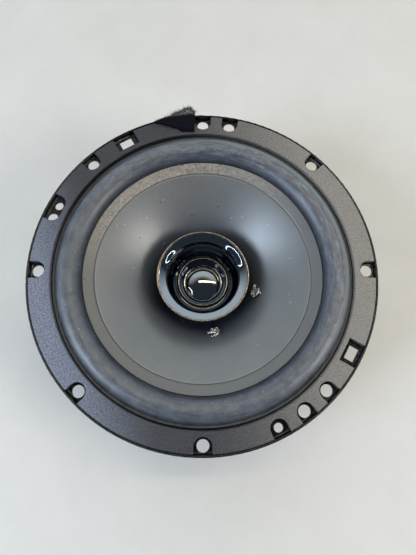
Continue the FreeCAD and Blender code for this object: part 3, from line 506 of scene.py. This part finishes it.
def woven(name, dark, pale, threads, depth):
    """Cloth of crossed threads, that many a millimetre, with fuzz, and resin patches that darken it."""
    rough = 0.85
    f = Finish(name, pale, rough)
    weft, warp = f.stripes(threads, "X", distortion=0.4), f.stripes(threads, "Y", distortion=0.4)
    weave = f.maths("MAXIMUM", weft, warp)
    patch = f.noise(0.25, detail=4, roughness=0.6)
    base = f.mix(weave, dark, pale)
    resin = tuple(value * 0.55 for value in pale)
    f.colour(f.mix(f.ramp(patch, (0.4, 0.0), (0.7, 0.35)), base, resin))
    f.roughness(f.ramp(patch, (0.3, rough), (0.7, rough * 0.75)))
    f.bump(weave, depth)
    f.bump(f.noise(3.0, detail=4, roughness=0.7), depth * 0.4)
    return f


def worn(name, dark, pale, rough, scale, depth, stretch=(1, 1, 1), **values):
    """A surface mottled between two colours, with roughness from and to, and a fine relief."""
    f = Finish(name, pale, rough[0], **values)
    place = f.coordinates(stretch)
    broad = f.noise(scale, detail=5, roughness=0.65, distortion=0.4, place=place)
    fine = f.noise(scale * 6, place=place, seed=5.0)
    f.colour(f.mix(f.ramp(broad, (0.35, 0.0), (0.65, 1.0)), dark, pale))
    f.roughness(f.ramp(fine, (0.3, rough[0]), (0.7, rough[1])))
    f.bump(fine, depth)
    return f


def ribbed(name, dark, pale, rough, ridges, depth, **values):
    """Like worn, with close ridges across Z, that many a millimetre, as on a winding or a braid."""
    mottle = 0.8
    f = worn(name, dark, pale, rough, mottle, depth, **values)
    height = f.stripes(ridges, "Z")
    f.colour(f.mix(f.ramp(height, (0.1, 0.0), (0.6, 1.0)), dark, pale))
    f.bump(height, depth)
    return f


# worn and ribbed take a name, a dark and a pale colour, the roughness from and to, the number of features a
# millimetre, the relief in millimetres, and for worn how far the pattern is squeezed along each axis.
METAL = {"metallic": 1.0}
paint = basket_paint()
grain = grained_plastic()
rubber = surround_rubber()
cone_skin = cone_plastic()
gloss = polished("Gloss black", (0.27, 0.31, 0.35), 0.05, 0.5)
throat_skin = polished("Throat skin", (0.075, 0.09, 0.12), 0.08, 0.4)
film = polished("Dome film", (0.30, 0.315, 0.315), 0.05, 0.3)
# warm, paler metal for rims and edges: a painted highlight of the warm light they catch
edge_highlight_skin = worn("Rim edge", (0.20, 0.165, 0.14), (0.38, 0.33, 0.28), (0.2, 0.32), 0.6, 0.01, **METAL)
cloth = woven("Spider cloth", (0.16, 0.10, 0.035), (0.40, 0.27, 0.11), 1.1, 0.06)
zinc = worn("Zinc steel", (0.38, 0.38, 0.36), (0.62, 0.61, 0.57), (0.26, 0.45), 0.35, 0.02,
            (1, 1, 4), **METAL)
ferrite_stone = ferrite_surface()
neodymium_plate = worn("Neodymium", (0.5, 0.5, 0.47), (0.68, 0.67, 0.63), (0.22, 0.35), 0.5, 0.01, **METAL)
nylon = worn("Black nylon", (0.013, 0.013, 0.013), (0.03, 0.03, 0.03), (0.38, 0.52), 0.6, 0.03)
fibre = worn("Fibre board", (0.055, 0.028, 0.016), (0.13, 0.075, 0.04), (0.5, 0.7), 0.5, 0.05, (0.35, 3, 1))
brass = worn("Tinned brass", (0.50, 0.47, 0.40), (0.74, 0.72, 0.66), (0.22, 0.42), 0.5, 0.02, **METAL)
sleeve = worn("Capacitor sleeve", (0.012, 0.02, 0.05), (0.022, 0.04, 0.09), (0.26, 0.38), 0.4, 0.02)
tinned = worn("Tinned wire", (0.5, 0.5, 0.48), (0.74, 0.74, 0.7), (0.22, 0.4), 0.9, 0.02, **METAL)
tinsel_braid = ribbed("Tinsel", (0.20, 0.15, 0.10), (0.66, 0.58, 0.46), (0.28, 0.45), 1.6, 0.08, **METAL)
red_insulation = worn("Wire red", (0.28, 0.007, 0.007), (0.44, 0.014, 0.012), (0.34, 0.48), 0.5, 0.02)
black_insulation = worn("Wire black", (0.009, 0.009, 0.009), (0.022, 0.022, 0.022), (0.34, 0.48), 0.5, 0.02)
aluminium = worn("Former aluminium", (0.52, 0.52, 0.52), (0.75, 0.75, 0.75), (0.25, 0.4), 0.5, 0.01,
                 (1, 1, 5), **METAL)
knot_wire = worn("Frayed tinsel", (0.30, 0.24, 0.16), (0.95, 0.96, 1.0), (0.16, 0.30), 0.9, 0.02,
                 metallic=0.6)
copper = ribbed("Copper", (0.35, 0.13, 0.06), (0.78, 0.40, 0.22), (0.25, 0.4), 1.8, 0.06, **METAL)
glue = worn("Black glue", (0.008, 0.008, 0.008), (0.018, 0.017, 0.016), (0.08, 0.2), 0.6, 0.06)
lacquer = worn("Lacquered wire", (0.22, 0.10, 0.04), (0.42, 0.22, 0.10), (0.22, 0.36), 1.2, 0.01, **METAL)
felt = felt_cloth()

FINISH_OF_SLOT = {
    "basket_paint": paint,
    "grained_plastic": grain,
    "felt": felt,
    "surround_rubber": rubber,
    "spider_cloth": cloth,
    "zinc_steel": zinc,
    "ferrite": ferrite_stone,
    "gloss_black": gloss,
    "dome_film": film,
    "neodymium": neodymium_plate,
    "black_nylon": nylon,
    "fibre_board": fibre,
    "tinned_brass": brass,
    "capacitor_sleeve": sleeve,
    "tinned_wire": tinned,
    "tinsel": tinsel_braid,
    "wire_red": red_insulation,
    "wire_black": black_insulation,
    "cone_plastic": cone_skin,
    "former_aluminium": aluminium,
    "copper": copper,
    "black_glue": glue,
    "lacquered_wire": lacquer,
}

for subpart in frame["record"]["subparts"]:
    finish_node(FINISH_OF_SLOT[subpart["material_slot"]], subpart["node"])


# ---------------------------------------------------------------- round pieces that replace CAD nodes

def outline(*corners):
    """(radius, height) points through corners, in millimetres. A third number in a corner is the radius of
    the arc that leaves it, which turns left if it is positive. A fourth is that arc's number of steps."""
    points = []
    for index, corner in enumerate(corners):
        here = Vector(corner[:2])
        points.append(here)
        if len(corner) > 2:
            there = Vector(corners[(index + 1) % len(corners)][:2])
            radius, steps = corner[2:]
            half = (there - here) / 2
            rise = math.sqrt(max(radius * radius - half.length_squared, 0.0))
            left = Vector((-half.y, half.x)).normalized()
            centre = here + half + left * math.copysign(rise, radius)
            arm = here - centre
            turn = 2 * math.asin(min(1.0, half.length / abs(radius)))
            for step in range(1, steps):
                angle = math.copysign(turn * step / steps, radius)
                c, s = math.cos(angle), math.sin(angle)
                points.append(centre + Vector((arm.x * c - arm.y * s, arm.x * s + arm.y * c)))
    return points


def make_surround():
    """A half-roll of rubber, glued to the flange outside and under the cone's edge inside. Its crown is a
    little uneven, and its lip stands up slightly on the side nearest the viewer."""
    lift_angle, lift_spread, lift_height = 268, 10, 0.5
    lip, lip_width = 69.6, 1.5
    crown, crown_width, wobble_height = 63.5, 6.5, 0.22
    shape = outline((52.9, -2.75), (57.5, -0.75), (58.0, -0.3, -5.9, 32), (69.3, 1.0), (72.5, 1.0),
                    (72.5, 1.6), (71.05, 1.6, 0.42, 8), (70.25, 1.6), (69.8, 1.6, 6.5, 40), (57.4, -0.7),
                    (52.9, -2.6))
    mesh = lathe("Surround roll", shape, 360)
    for vertex in mesh.vertices:
        degrees = math.degrees(math.atan2(vertex.co.y, vertex.co.x)) % 360
        radius = vertex.co.xy.length / MM
        ripple = 0.7 + 0.3 * math.sin(degrees * 0.9)
        lifted = math.exp(-((degrees - lift_angle) / lift_spread) ** 2) * ripple
        near_lip = max(0.0, 1 - abs(radius - lip) / lip_width)
        near_crown = max(0.0, 1 - abs(radius - crown) / crown_width)
        wobble = noise.noise((degrees * 0.12, radius * 0.2, 0)) * near_crown
        vertex.co.z += (lift_height * lifted * near_lip + wobble_height * wobble) * MM
    piece = new_piece("Surround_roll", mesh, None, rubber.material)
    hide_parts("surround")
    blend_round(piece)


def make_cone():
    """A moulded cone with a crisp front edge, a border band and a fine turned groove inside it."""
    shape = outline((16.3, -30.4), (16.4, -28.6, -122.6, 60), (52.1, -2.27), (52.3, -2.33), (52.5, -2.21),
                    (52.65, -2.01, -122.6, 8), (57.0, -0.02), (57.2, 0.08), (57.3, 0.0), (57.3, -0.55),
                    (57.0, -0.75, 122.0, 64), (16.0, -29.6), (15.6, -29.6), (15.6, -30.4))
    mesh = lathe("Cone skin", shape, 360)
    piece = new_piece("Cone_skin", mesh, "cone_assembly", cone_skin.material)
    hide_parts("cone")


def make_bell():
    """The tweeter's bell: a rolled rim, a wide lip, a steep wall and a throat, round a barrel. The rim has a
    paler, warm skin that is a painted highlight of the warm light it catches, and the throat has a darker
    skin."""
    rim_radius, rim_height, throat_height = 21.8 * MM, -8.1 * MM, -9.9 * MM
    shape = outline((12.5, -31.9), (14.0, -31.9), (14.0, -21.7, -22.0, 24), (19.2, -13.8),
                    (19.7, -10.9, -14.0, 16), (23.0, -8.7), (23.0, -7.9, 0.4, 8), (22.6, -7.5, 0.4, 8),
                    (22.2, -7.9, 14.0, 40), (18.6, -9.8), (18.5, -10.0), (18.15, -13.2),
                    (18.1, -13.4, 22.0, 40), (13.4, -20.6), (13.2, -20.9), (13.2, -23.4), (12.5, -23.4))
    mesh = lathe("Bell", shape, 256)
    piece = new_piece("Tweeter_bell", mesh, "frame", gloss.material)
    mesh.materials.append(edge_highlight_skin.material)
    mesh.materials.append(throat_skin.material)
    for face in mesh.polygons:
        if face.center.xy.length > rim_radius and face.center.z > rim_height:
            face.material_index = 1
        elif face.center.z < throat_height:
            face.material_index = 2
    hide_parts("tweeter_housing")


def make_retaining_ring():
    """A ring with a rolled outer edge, whose paler warm skin is a painted highlight, and an inner lip that
    slopes down to the dome.
    """
    edge_radius, edge_height = 12.55 * MM, -20.8 * MM
    shape = outline((9.9, -23.35), (13.1, -23.35), (13.1, -20.9, 0.5, 8), (12.6, -20.4, 0.5, 8),
                    (12.1, -20.9), (11.8, -21.2, 6.0, 12), (9.9, -22.5))
    mesh = lathe("Retaining ring", shape, 192)
    piece = new_piece("Tweeter_ring", mesh, "frame", throat_skin.material)
    mesh.materials.append(edge_highlight_skin.material)
    for face in mesh.polygons:
        if face.center.xy.length > edge_radius and face.center.z > edge_height:
            face.material_index = 1
    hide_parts("tweeter_retaining_ring")


def make_dome():
    """A thin metallised dome, and the flat film edge that carries it."""
    shape = outline((9.0, -23.4), (9.35, -23.4, 22.86, 40), (0.02, -21.4), (0.02, -21.7, -24.67, 24))
    mesh = lathe("Dome", shape, 192)
    piece = new_piece("Dome", mesh, "tweeter_diaphragm", film.material)
    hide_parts("tweeter_dome")
    shape = outline((9.55, -23.65), (9.9, -23.55), (12.3, -23.65), (12.3, -23.42), (10.0, -23.42),
                    (9.7, -23.3, 0.4, 6), (9.55, -23.4))
    edge = new_piece("Dome_edge", lathe("Dome edge", shape, 160), None, film.material)
    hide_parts("tweeter_surround")
    blend_round(edge)


def make_spider():
    """A ring of pressed cloth with concentric waves, between the basket's ledge and the voice coil."""
    face, back, first, waves, pitch, bend = -31.0, -31.5, 38, 8, 2.5, 1.6
    front = [(first - pitch * k, face, bend if k % 2 else -bend, 6) for k in range(waves)]
    rear = [(first - pitch * (k + 1), back, -bend if k % 2 else bend, 6) for k in reversed(range(waves))]
    shape = outline((43.4, back), (43.4, face), *front, (18, face), (15.6, face), (15.6, back), *rear,
                    (first, back))
    piece = new_piece("Spider_cloth", lathe("Spider", shape, 180), None, cloth.material)
    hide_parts("spider")
    blend_round(piece)


# ---------------------------------------------------------------- the felt scrap

# The felt's torn inner and outer edges are (degrees, radius) points. Its radii, the height that it lies at
# and its thickness are in millimetres.
FELT_START, FELT_END = 92.8, 108
FELT_INNER = ((FELT_START, 82.0), (93.4, 72.6), (98, 73.4), (102, 76.6), (FELT_END, 81.6))
FELT_OUTER = ((FELT_START, 83.6), (94.2, 86.6), (96, 86.2), (99, 84.2), (104, 82.9), (FELT_END, 81.9))
FELT_BASE, FELT_THICKNESS = 4.22, 0.7
FELT_COLUMNS, FELT_ROWS = 60, 26
FIBRE_COUNT, FIBRE_RADIUS = 1500, 0.05 * MM
TUFT_ROOT_RADIUS = 82.3


def between(stops, place):
    """The value at place on a line through (place, value) stops."""
    for (a, low), (b, high) in zip(stops, stops[1:]):
        if place <= b:
            return low + (high - low) * (place - a) / (b - a)
    return stops[-1][1]


def felt_side(work, underside):
    """Adds the points of one side of the felt to a bmesh, in columns. The upper side thins to its edges."""
    inner_tear, outer_tear, lump_height, edge_share = 0.8, 0.3, 0.08, 0.45
    grid = []
    for column in range(FELT_COLUMNS + 1):
        along = column / FELT_COLUMNS
        degrees = FELT_START + (FELT_END - FELT_START) * column / FELT_COLUMNS
        start = between(FELT_INNER, degrees) + noise.noise((column * 0.6, 1.7, 0)) * inner_tear
        end = between(FELT_OUTER, degrees) + noise.noise((column * 0.7, 9.1, 0)) * outer_tear
        line = []
        for row in range(FELT_ROWS + 1):
            share = row / FELT_ROWS
            radius = start + (end - start) * share
            edge = min(share, 1 - share, along, 1 - along)
            lump = noise.noise((radius * 0.8, degrees * 1.1, 3)) * lump_height
            upper = FELT_BASE + FELT_THICKNESS * min(1, edge_share + edge * 6) + lump
            height = FELT_BASE if underside else upper
            line.append(work.verts.new(polar(radius * MM, degrees, height * MM)))
        grid.append(line)
    return grid


def felt_mesh():
    """The felt's two sides, joined around their edge."""
    columns, rows = FELT_COLUMNS, FELT_ROWS
    work = bmesh.new()
    sides = [felt_side(work, underside) for underside in (False, True)]
    for underside, grid in enumerate(sides):
        for a, b in zip(grid, grid[1:]):
            for row in range(rows):
                corners = (a[row], b[row], b[row + 1], a[row + 1])
                work.faces.new(corners[::-1] if underside else corners)
    front, rear = sides
    loop = [(c, 0) for c in range(columns)] + [(columns, r) for r in range(rows)]
    loop += [(c, rows) for c in range(columns, 0, -1)] + [(0, r) for r in range(rows, 0, -1)]
    for (c, r), (next_c, next_r) in zip(loop, loop[1:] + loop[:1]):
        work.faces.new((front[c][r], rear[c][r], rear[next_c][next_r], front[next_c][next_r]))
    return mesh_from("Felt scrap", work)


def felt_fibre(work, chance, in_tuft):
    """Adds a curled fibre to a bmesh, anywhere on the felt or in the tuft past the rim."""
    degrees = chance.uniform(93.2, 107)
    low, high = between(FELT_INNER, degrees), between(FELT_OUTER, degrees)
    spread = 2.4
    if in_tuft:
        degrees = chance.uniform(92.9, 101)
        low, high = TUFT_ROOT_RADIUS, between(FELT_OUTER, degrees)
        spread = 1
    radius = chance.choice((low + chance.random(), high - chance.random() * 0.8, chance.uniform(low, high)))
    root = polar(radius * MM, degrees, chance.uniform(4.3, 4.85) * MM)
    heading = polar(1, degrees + chance.uniform(-75, 75) * spread, chance.uniform(-0.1, 0.4))
    length = chance.uniform(0.5, 1.9) * MM
    curl = Vector((chance.uniform(-1, 1), chance.uniform(-1, 1), chance.uniform(-0.4, 0.2)))
    path = [root + heading * length * s + curl * length * s * s * 0.7 for s in (0, 0.35, 0.7, 1)]
    strand(work, path, FIBRE_RADIUS, sides=3, taper=0.6)


def make_felt_scrap():
    """The torn scrap of felt seal on the trim ring, with a tuft of loose fibres past the rim."""
    piece = new_piece("Felt_scrap", felt_mesh(), "frame", felt.material)
    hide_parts("seal_scrap")
    chance = random.Random(5)
    work = bmesh.new()
    for number in range(FIBRE_COUNT):
        felt_fibre(work, chance, in_tuft=number % 5 < 3)
    fibres = new_piece("Felt_fibres", mesh_from("Felt fibres", work), "frame", felt.material)


# ---------------------------------------------------------------- leads and solder joints

BOARD_AZIMUTH = -45


def board_point(x, y, z):
    """A point of the terminal board's own frame, on the basket's sloping wall, in metres."""
    board_radius, board_height = 54.35, -22.5
    slope = math.sqrt(0.5)
    outward = board_radius + x * slope + z * slope
    height = board_height + x * slope - z * slope
    return Matrix.Rotation(math.radians(BOARD_AZIMUTH), 3, "Z") @ Vector((outward, y, height)) * MM


def make_tinsel_lead(name, node, angle, side):
    """A twisted tinsel lead, from the back of the cone to the lug of its terminal."""
    lug_along, lug_aside, lug_depth = -5, 3.6, -4.95
    lead_radius = 0.72 * MM
    lug = board_point(lug_along, lug_aside * side, lug_depth)
    sweep = BOARD_AZIMUTH - angle
    stops = ((28.9, 0, -19.9), (29.2, 0.02, -24.0), (34.4, 0.22, -27.2), (41.9, 0.52, -26.4))
    route = [polar(radius * MM, angle + share * sweep, height * MM) for radius, share, height in stops]
    route.append(lug)
    work = bmesh.new()
    strand(work, smooth_path(name, route, 24), lead_radius, sides=24, lobes=6, twist=1100)
    piece = new_piece(name, mesh_from(name, work), None, tinsel_braid.material)
    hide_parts(node)
    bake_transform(piece)


def frayed_wires(name, chance, centre, out, side, up):
    """A mesh of short twisted wires that wander over a dab of glue and sink into it."""
    wires, bends, dab_radius = 6, 6, 4.3
    work = bmesh.new()
    for _ in range(wires):
        phase, lift = chance.uniform(0, 6.28), chance.uniform(0.9, 1.3)
        route = []
        for step in range(bends):
            around = phase + step * chance.uniform(0.7, 1.6)
            reach = chance.uniform(0.5, 4.0)
            height = lift * math.sqrt(max(0.1, 1 - (reach / dab_radius) ** 2)) + chance.uniform(-0.1, 0.7)
            offset = out * math.cos(around) * reach + side * math.sin(around) * reach + up * height
            route.append(centre + offset * MM)
        path = smooth_path(name, route, 8)
        strand(work, path, chance.uniform(0.26, 0.42) * MM, sides=10, lobes=3, twist=3000)
    return mesh_from(name + " tinsel", work)


def make_lead_joint(name, node, angle, seed):
    """A glossy dab of black glue on the cone, over the frayed end of a tinsel lead."""
    length, width, depth = 2.5, 2.8, 1.3
    low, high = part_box(node)
    centre = (low + high) / 2
    radial = polar(1, angle)
    lean = math.radians(45)
    up = (Vector((0, 0, 1)) * math.cos(lean) - radial * math.sin(lean)).normalized()
    out = (radial * math.cos(lean) + Vector((0, 0, 1)) * math.sin(lean)).normalized()
    side = up.cross(out)
    work = bmesh.new()
    bmesh.ops.create_icosphere(work, subdivisions=4, radius=1.0)
    for vertex in work.verts:
        lump = 1 + 0.22 * noise.noise(vertex.co * 1.3 + Vector((seed, 0, 0)))
        x, y, z = vertex.co * lump
        vertex.co = centre + (out * x * length + side * y * width + up * z * depth) * MM
    dab = new_piece(name, mesh_from(name, work), "cone_assembly", glue.material)
    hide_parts(node)
    wires = frayed_wires(name, random.Random(int(seed * 10)), centre, out, side, up)
    new_piece(name + "_tinsel", wires, "cone_assembly", knot_wire.material)


make_surround()
make_cone()
make_bell()
make_retaining_ring()
make_dome()
make_spider()
make_felt_scrap()
for label, angle, side, seed in (("positive", -78, 1, 2.0), ("negative", -13, -1, 8.0)):
    make_tinsel_lead("Tinsel_" + label, "tinsel_lead_" + label, angle, side)
    make_lead_joint("Glue_" + label, "lead_joint_" + label, angle, seed)


# ---------------------------------------------------------------- light, floor and camera

def direction(off_zenith, azimuth):
    """A unit vector, from its angles in degrees off straight up and around from +X."""
    tilt = math.radians(off_zenith)
    return polar(math.sin(tilt), azimuth, math.cos(tilt))


def face_origin(thing):
    """Turns an object so that its -Z axis points at the frame's origin, in the middle of the flange."""
    thing.rotation_mode = "QUATERNION"
    thing.rotation_quaternion = (-thing.location).to_track_quat("-Z", "Y")


def ring_light(name, off_zenith, azimuth, radius, strength, colour):
    """A ring lamp half a metre from the speaker, facing it, that shows only in reflections."""
    distance, tube = 0.5, 0.002
    bpy.ops.mesh.primitive_torus_add(major_radius=radius, minor_radius=tube,
                                     major_segments=64, minor_segments=12)
    ring = bpy.context.active_object
    ring.name = name
    ring.location = direction(off_zenith, azimuth) * distance
    face_origin(ring)
    glow = Finish(name, (0, 0, 0), 1.0)
    glow.shader.inputs["Emission Color"].default_value = (*colour, 1)
    glow.shader.inputs["Emission Strength"].default_value = strength
    ring.data.materials.append(glow.material)
    ring.visible_camera = False


def area_lamp(name, shape, power, colour):
    """An area lamp of that shape, which has no place or size yet."""
    data = bpy.data.lights.new(name, "AREA")
    data.shape = shape
    data.energy = power
    data.color = colour
    lamp = bpy.data.objects.new(name, data)
    bpy.context.scene.collection.objects.link(lamp)
    return lamp


def soft_light(name, off_zenith, azimuth, size, power, colour, kept_off):
    """A round lamp beyond a ring light, which gives the matt surfaces their glow. It doesn't light the
    mirror-like pieces in kept_off, so they show the ring alone."""
    distance = 1.1
    lamp = area_lamp(name, "DISK", power, colour)
    lamp.data.size = size
    lamp.location = direction(off_zenith, azimuth) * distance
    face_origin(lamp)
    others = bpy.data.collections.new(name + " keeps off")
    for thing in kept_off:
        others.objects.link(thing)
    lamp.light_linking.receiver_collection = others
    for member in others.collection_objects:
        member.light_linking.link_state = "EXCLUDE"


def ceiling_light(name, place, size, power, colour):
    """A rectangular lamp at place, in metres, facing straight down."""
    lamp = area_lamp(name, "RECTANGLE", power, colour)
    lamp.data.size, lamp.data.size_y = size
    lamp.location = place


def world_band(tree, value, low, high):
    """0 to 1 as a value of the world's node tree goes from low to high."""
    band = tree.nodes.new("ShaderNodeMapRange")
    band.inputs["From Min"].default_value = low
    band.inputs["From Max"].default_value = high
    tree.links.new(value, band.inputs["Value"])
    return band.outputs["Result"]


def surroundings():
    """A world that is darker overhead and towards the viewer, as where someone leans over a table, and pale
    all round at the horizon."""
    pale, overhead, near_viewer = (1.0, 1.08, 1.12, 1), (0.07, 0.075, 0.08, 1), (0.05, 0.065, 0.085, 1)
    world = bpy.data.worlds.new("Studio")
    bpy.context.scene.world = world
    world.use_nodes = True
    tree = world.node_tree
    place = tree.nodes.new("ShaderNodeTexCoord")
    split = tree.nodes.new("ShaderNodeSeparateXYZ")
    tree.links.new(place.outputs["Generated"], split.inputs[0])
    sky = tree.nodes.new("ShaderNodeValToRGB")
    for element, position, colour in zip(sky.color_ramp.elements, (0.84, 0.93), (pale, overhead)):
        element.position = position
        element.color = colour
    tree.links.new(split.outputs["Z"], sky.inputs["Fac"])
    shown = tree.nodes.new("ShaderNodeMath")
    shown.operation = "MAXIMUM"
    tree.links.new(world_band(tree, split.outputs["Z"], 0.30, 0.10), shown.inputs[0])
    tree.links.new(world_band(tree, split.outputs["Y"], 0.08, 0.5), shown.inputs[1])
    blend = tree.nodes.new("ShaderNodeMix")
    blend.data_type = "RGBA"
    tree.links.new(shown.outputs[0], blend.inputs[0])
    blend.inputs[6].default_value = near_viewer
    tree.links.new(sky.outputs["Color"], blend.inputs[7])
    background = tree.nodes["Background"]
    tree.links.new(blend.outputs[2], background.inputs["Color"])
    background.inputs["Strength"].default_value = 1.0


def lamps():
    """Two ring lamps that the shiny pieces reflect, a soft lamp beyond each, and a bar lamp overhead."""
    ring_light("Ring light left", off_zenith=52, azimuth=-161, radius=0.15, strength=26,
               colour=(0.82, 0.92, 1.0))
    ring_light("Ring light right", off_zenith=52, azimuth=-16, radius=0.085, strength=26,
               colour=(0.96, 0.98, 1.0))
    shiny = [thing for thing in bpy.data.objects if thing.name.startswith(("Tweeter_", "Dome"))]
    soft_light("Soft light left", off_zenith=53, azimuth=-158, size=0.5, power=7.6,
               colour=(0.68, 0.82, 1.0), kept_off=shiny)
    soft_light("Soft light right", off_zenith=53, azimuth=-20, size=0.45, power=4.8,
               colour=(1.0, 0.97, 0.92), kept_off=shiny)
    ceiling_light("Bar lamp", place=(0.305, 0.315, 1.2), size=(1.12, 0.08), power=4.5,
                  colour=(1.0, 0.88, 0.62))


def floor():
    """The pale table under the speaker."""
    half = 6.0
    corners = [(x * half, y * half, FLOOR_HEIGHT) for x, y in ((-1, -1), (1, -1), (1, 1), (-1, 1))]
    mesh = bpy.data.meshes.new("Table")
    mesh.from_pydata(corners, [], [(0, 1, 2, 3)])
    table = bpy.data.objects.new("Table", mesh)
    bpy.context.scene.collection.objects.link(table)
    laminate = worn("Table", (0.63, 0.608, 0.58), (0.67, 0.648, 0.62), (0.55, 0.65), 0.02, 0.02)
    mesh.materials.append(laminate.material)


def camera():
    """Looks down on the speaker from the side nearest the viewer, tilted by about fourteen degrees. offset
    is the trim ring's centre as the camera sees it, in units of the flange's radius."""
    tilt, roll = math.radians(-13.9), math.radians(0.74)
    offset = Vector((-0.029, 0.047, -2.383))
    sensor_width, lens, nearest = 36, 27.24, 0.01
    look = Matrix.Rotation(roll, 3, "Y") @ Matrix.Rotation(tilt, 3, "X")
    shift = offset * outer_radius("basket")
    centre = -(look.transposed() @ shift) + Vector((0, 0, top("trim_ring")))
    data = bpy.data.cameras.new("Camera")
    data.sensor_width = sensor_width
    data.lens = lens
    data.clip_start = nearest
    eye = bpy.data.objects.new("Camera", data)
    bpy.context.scene.collection.objects.link(eye)
    eye.matrix_world = Matrix.Translation(centre) @ look.transposed().to_4x4()
    bpy.context.scene.camera = eye


surroundings()
lamps()
floor()
camera()
bpy.context.scene.view_settings.view_transform = "Standard"
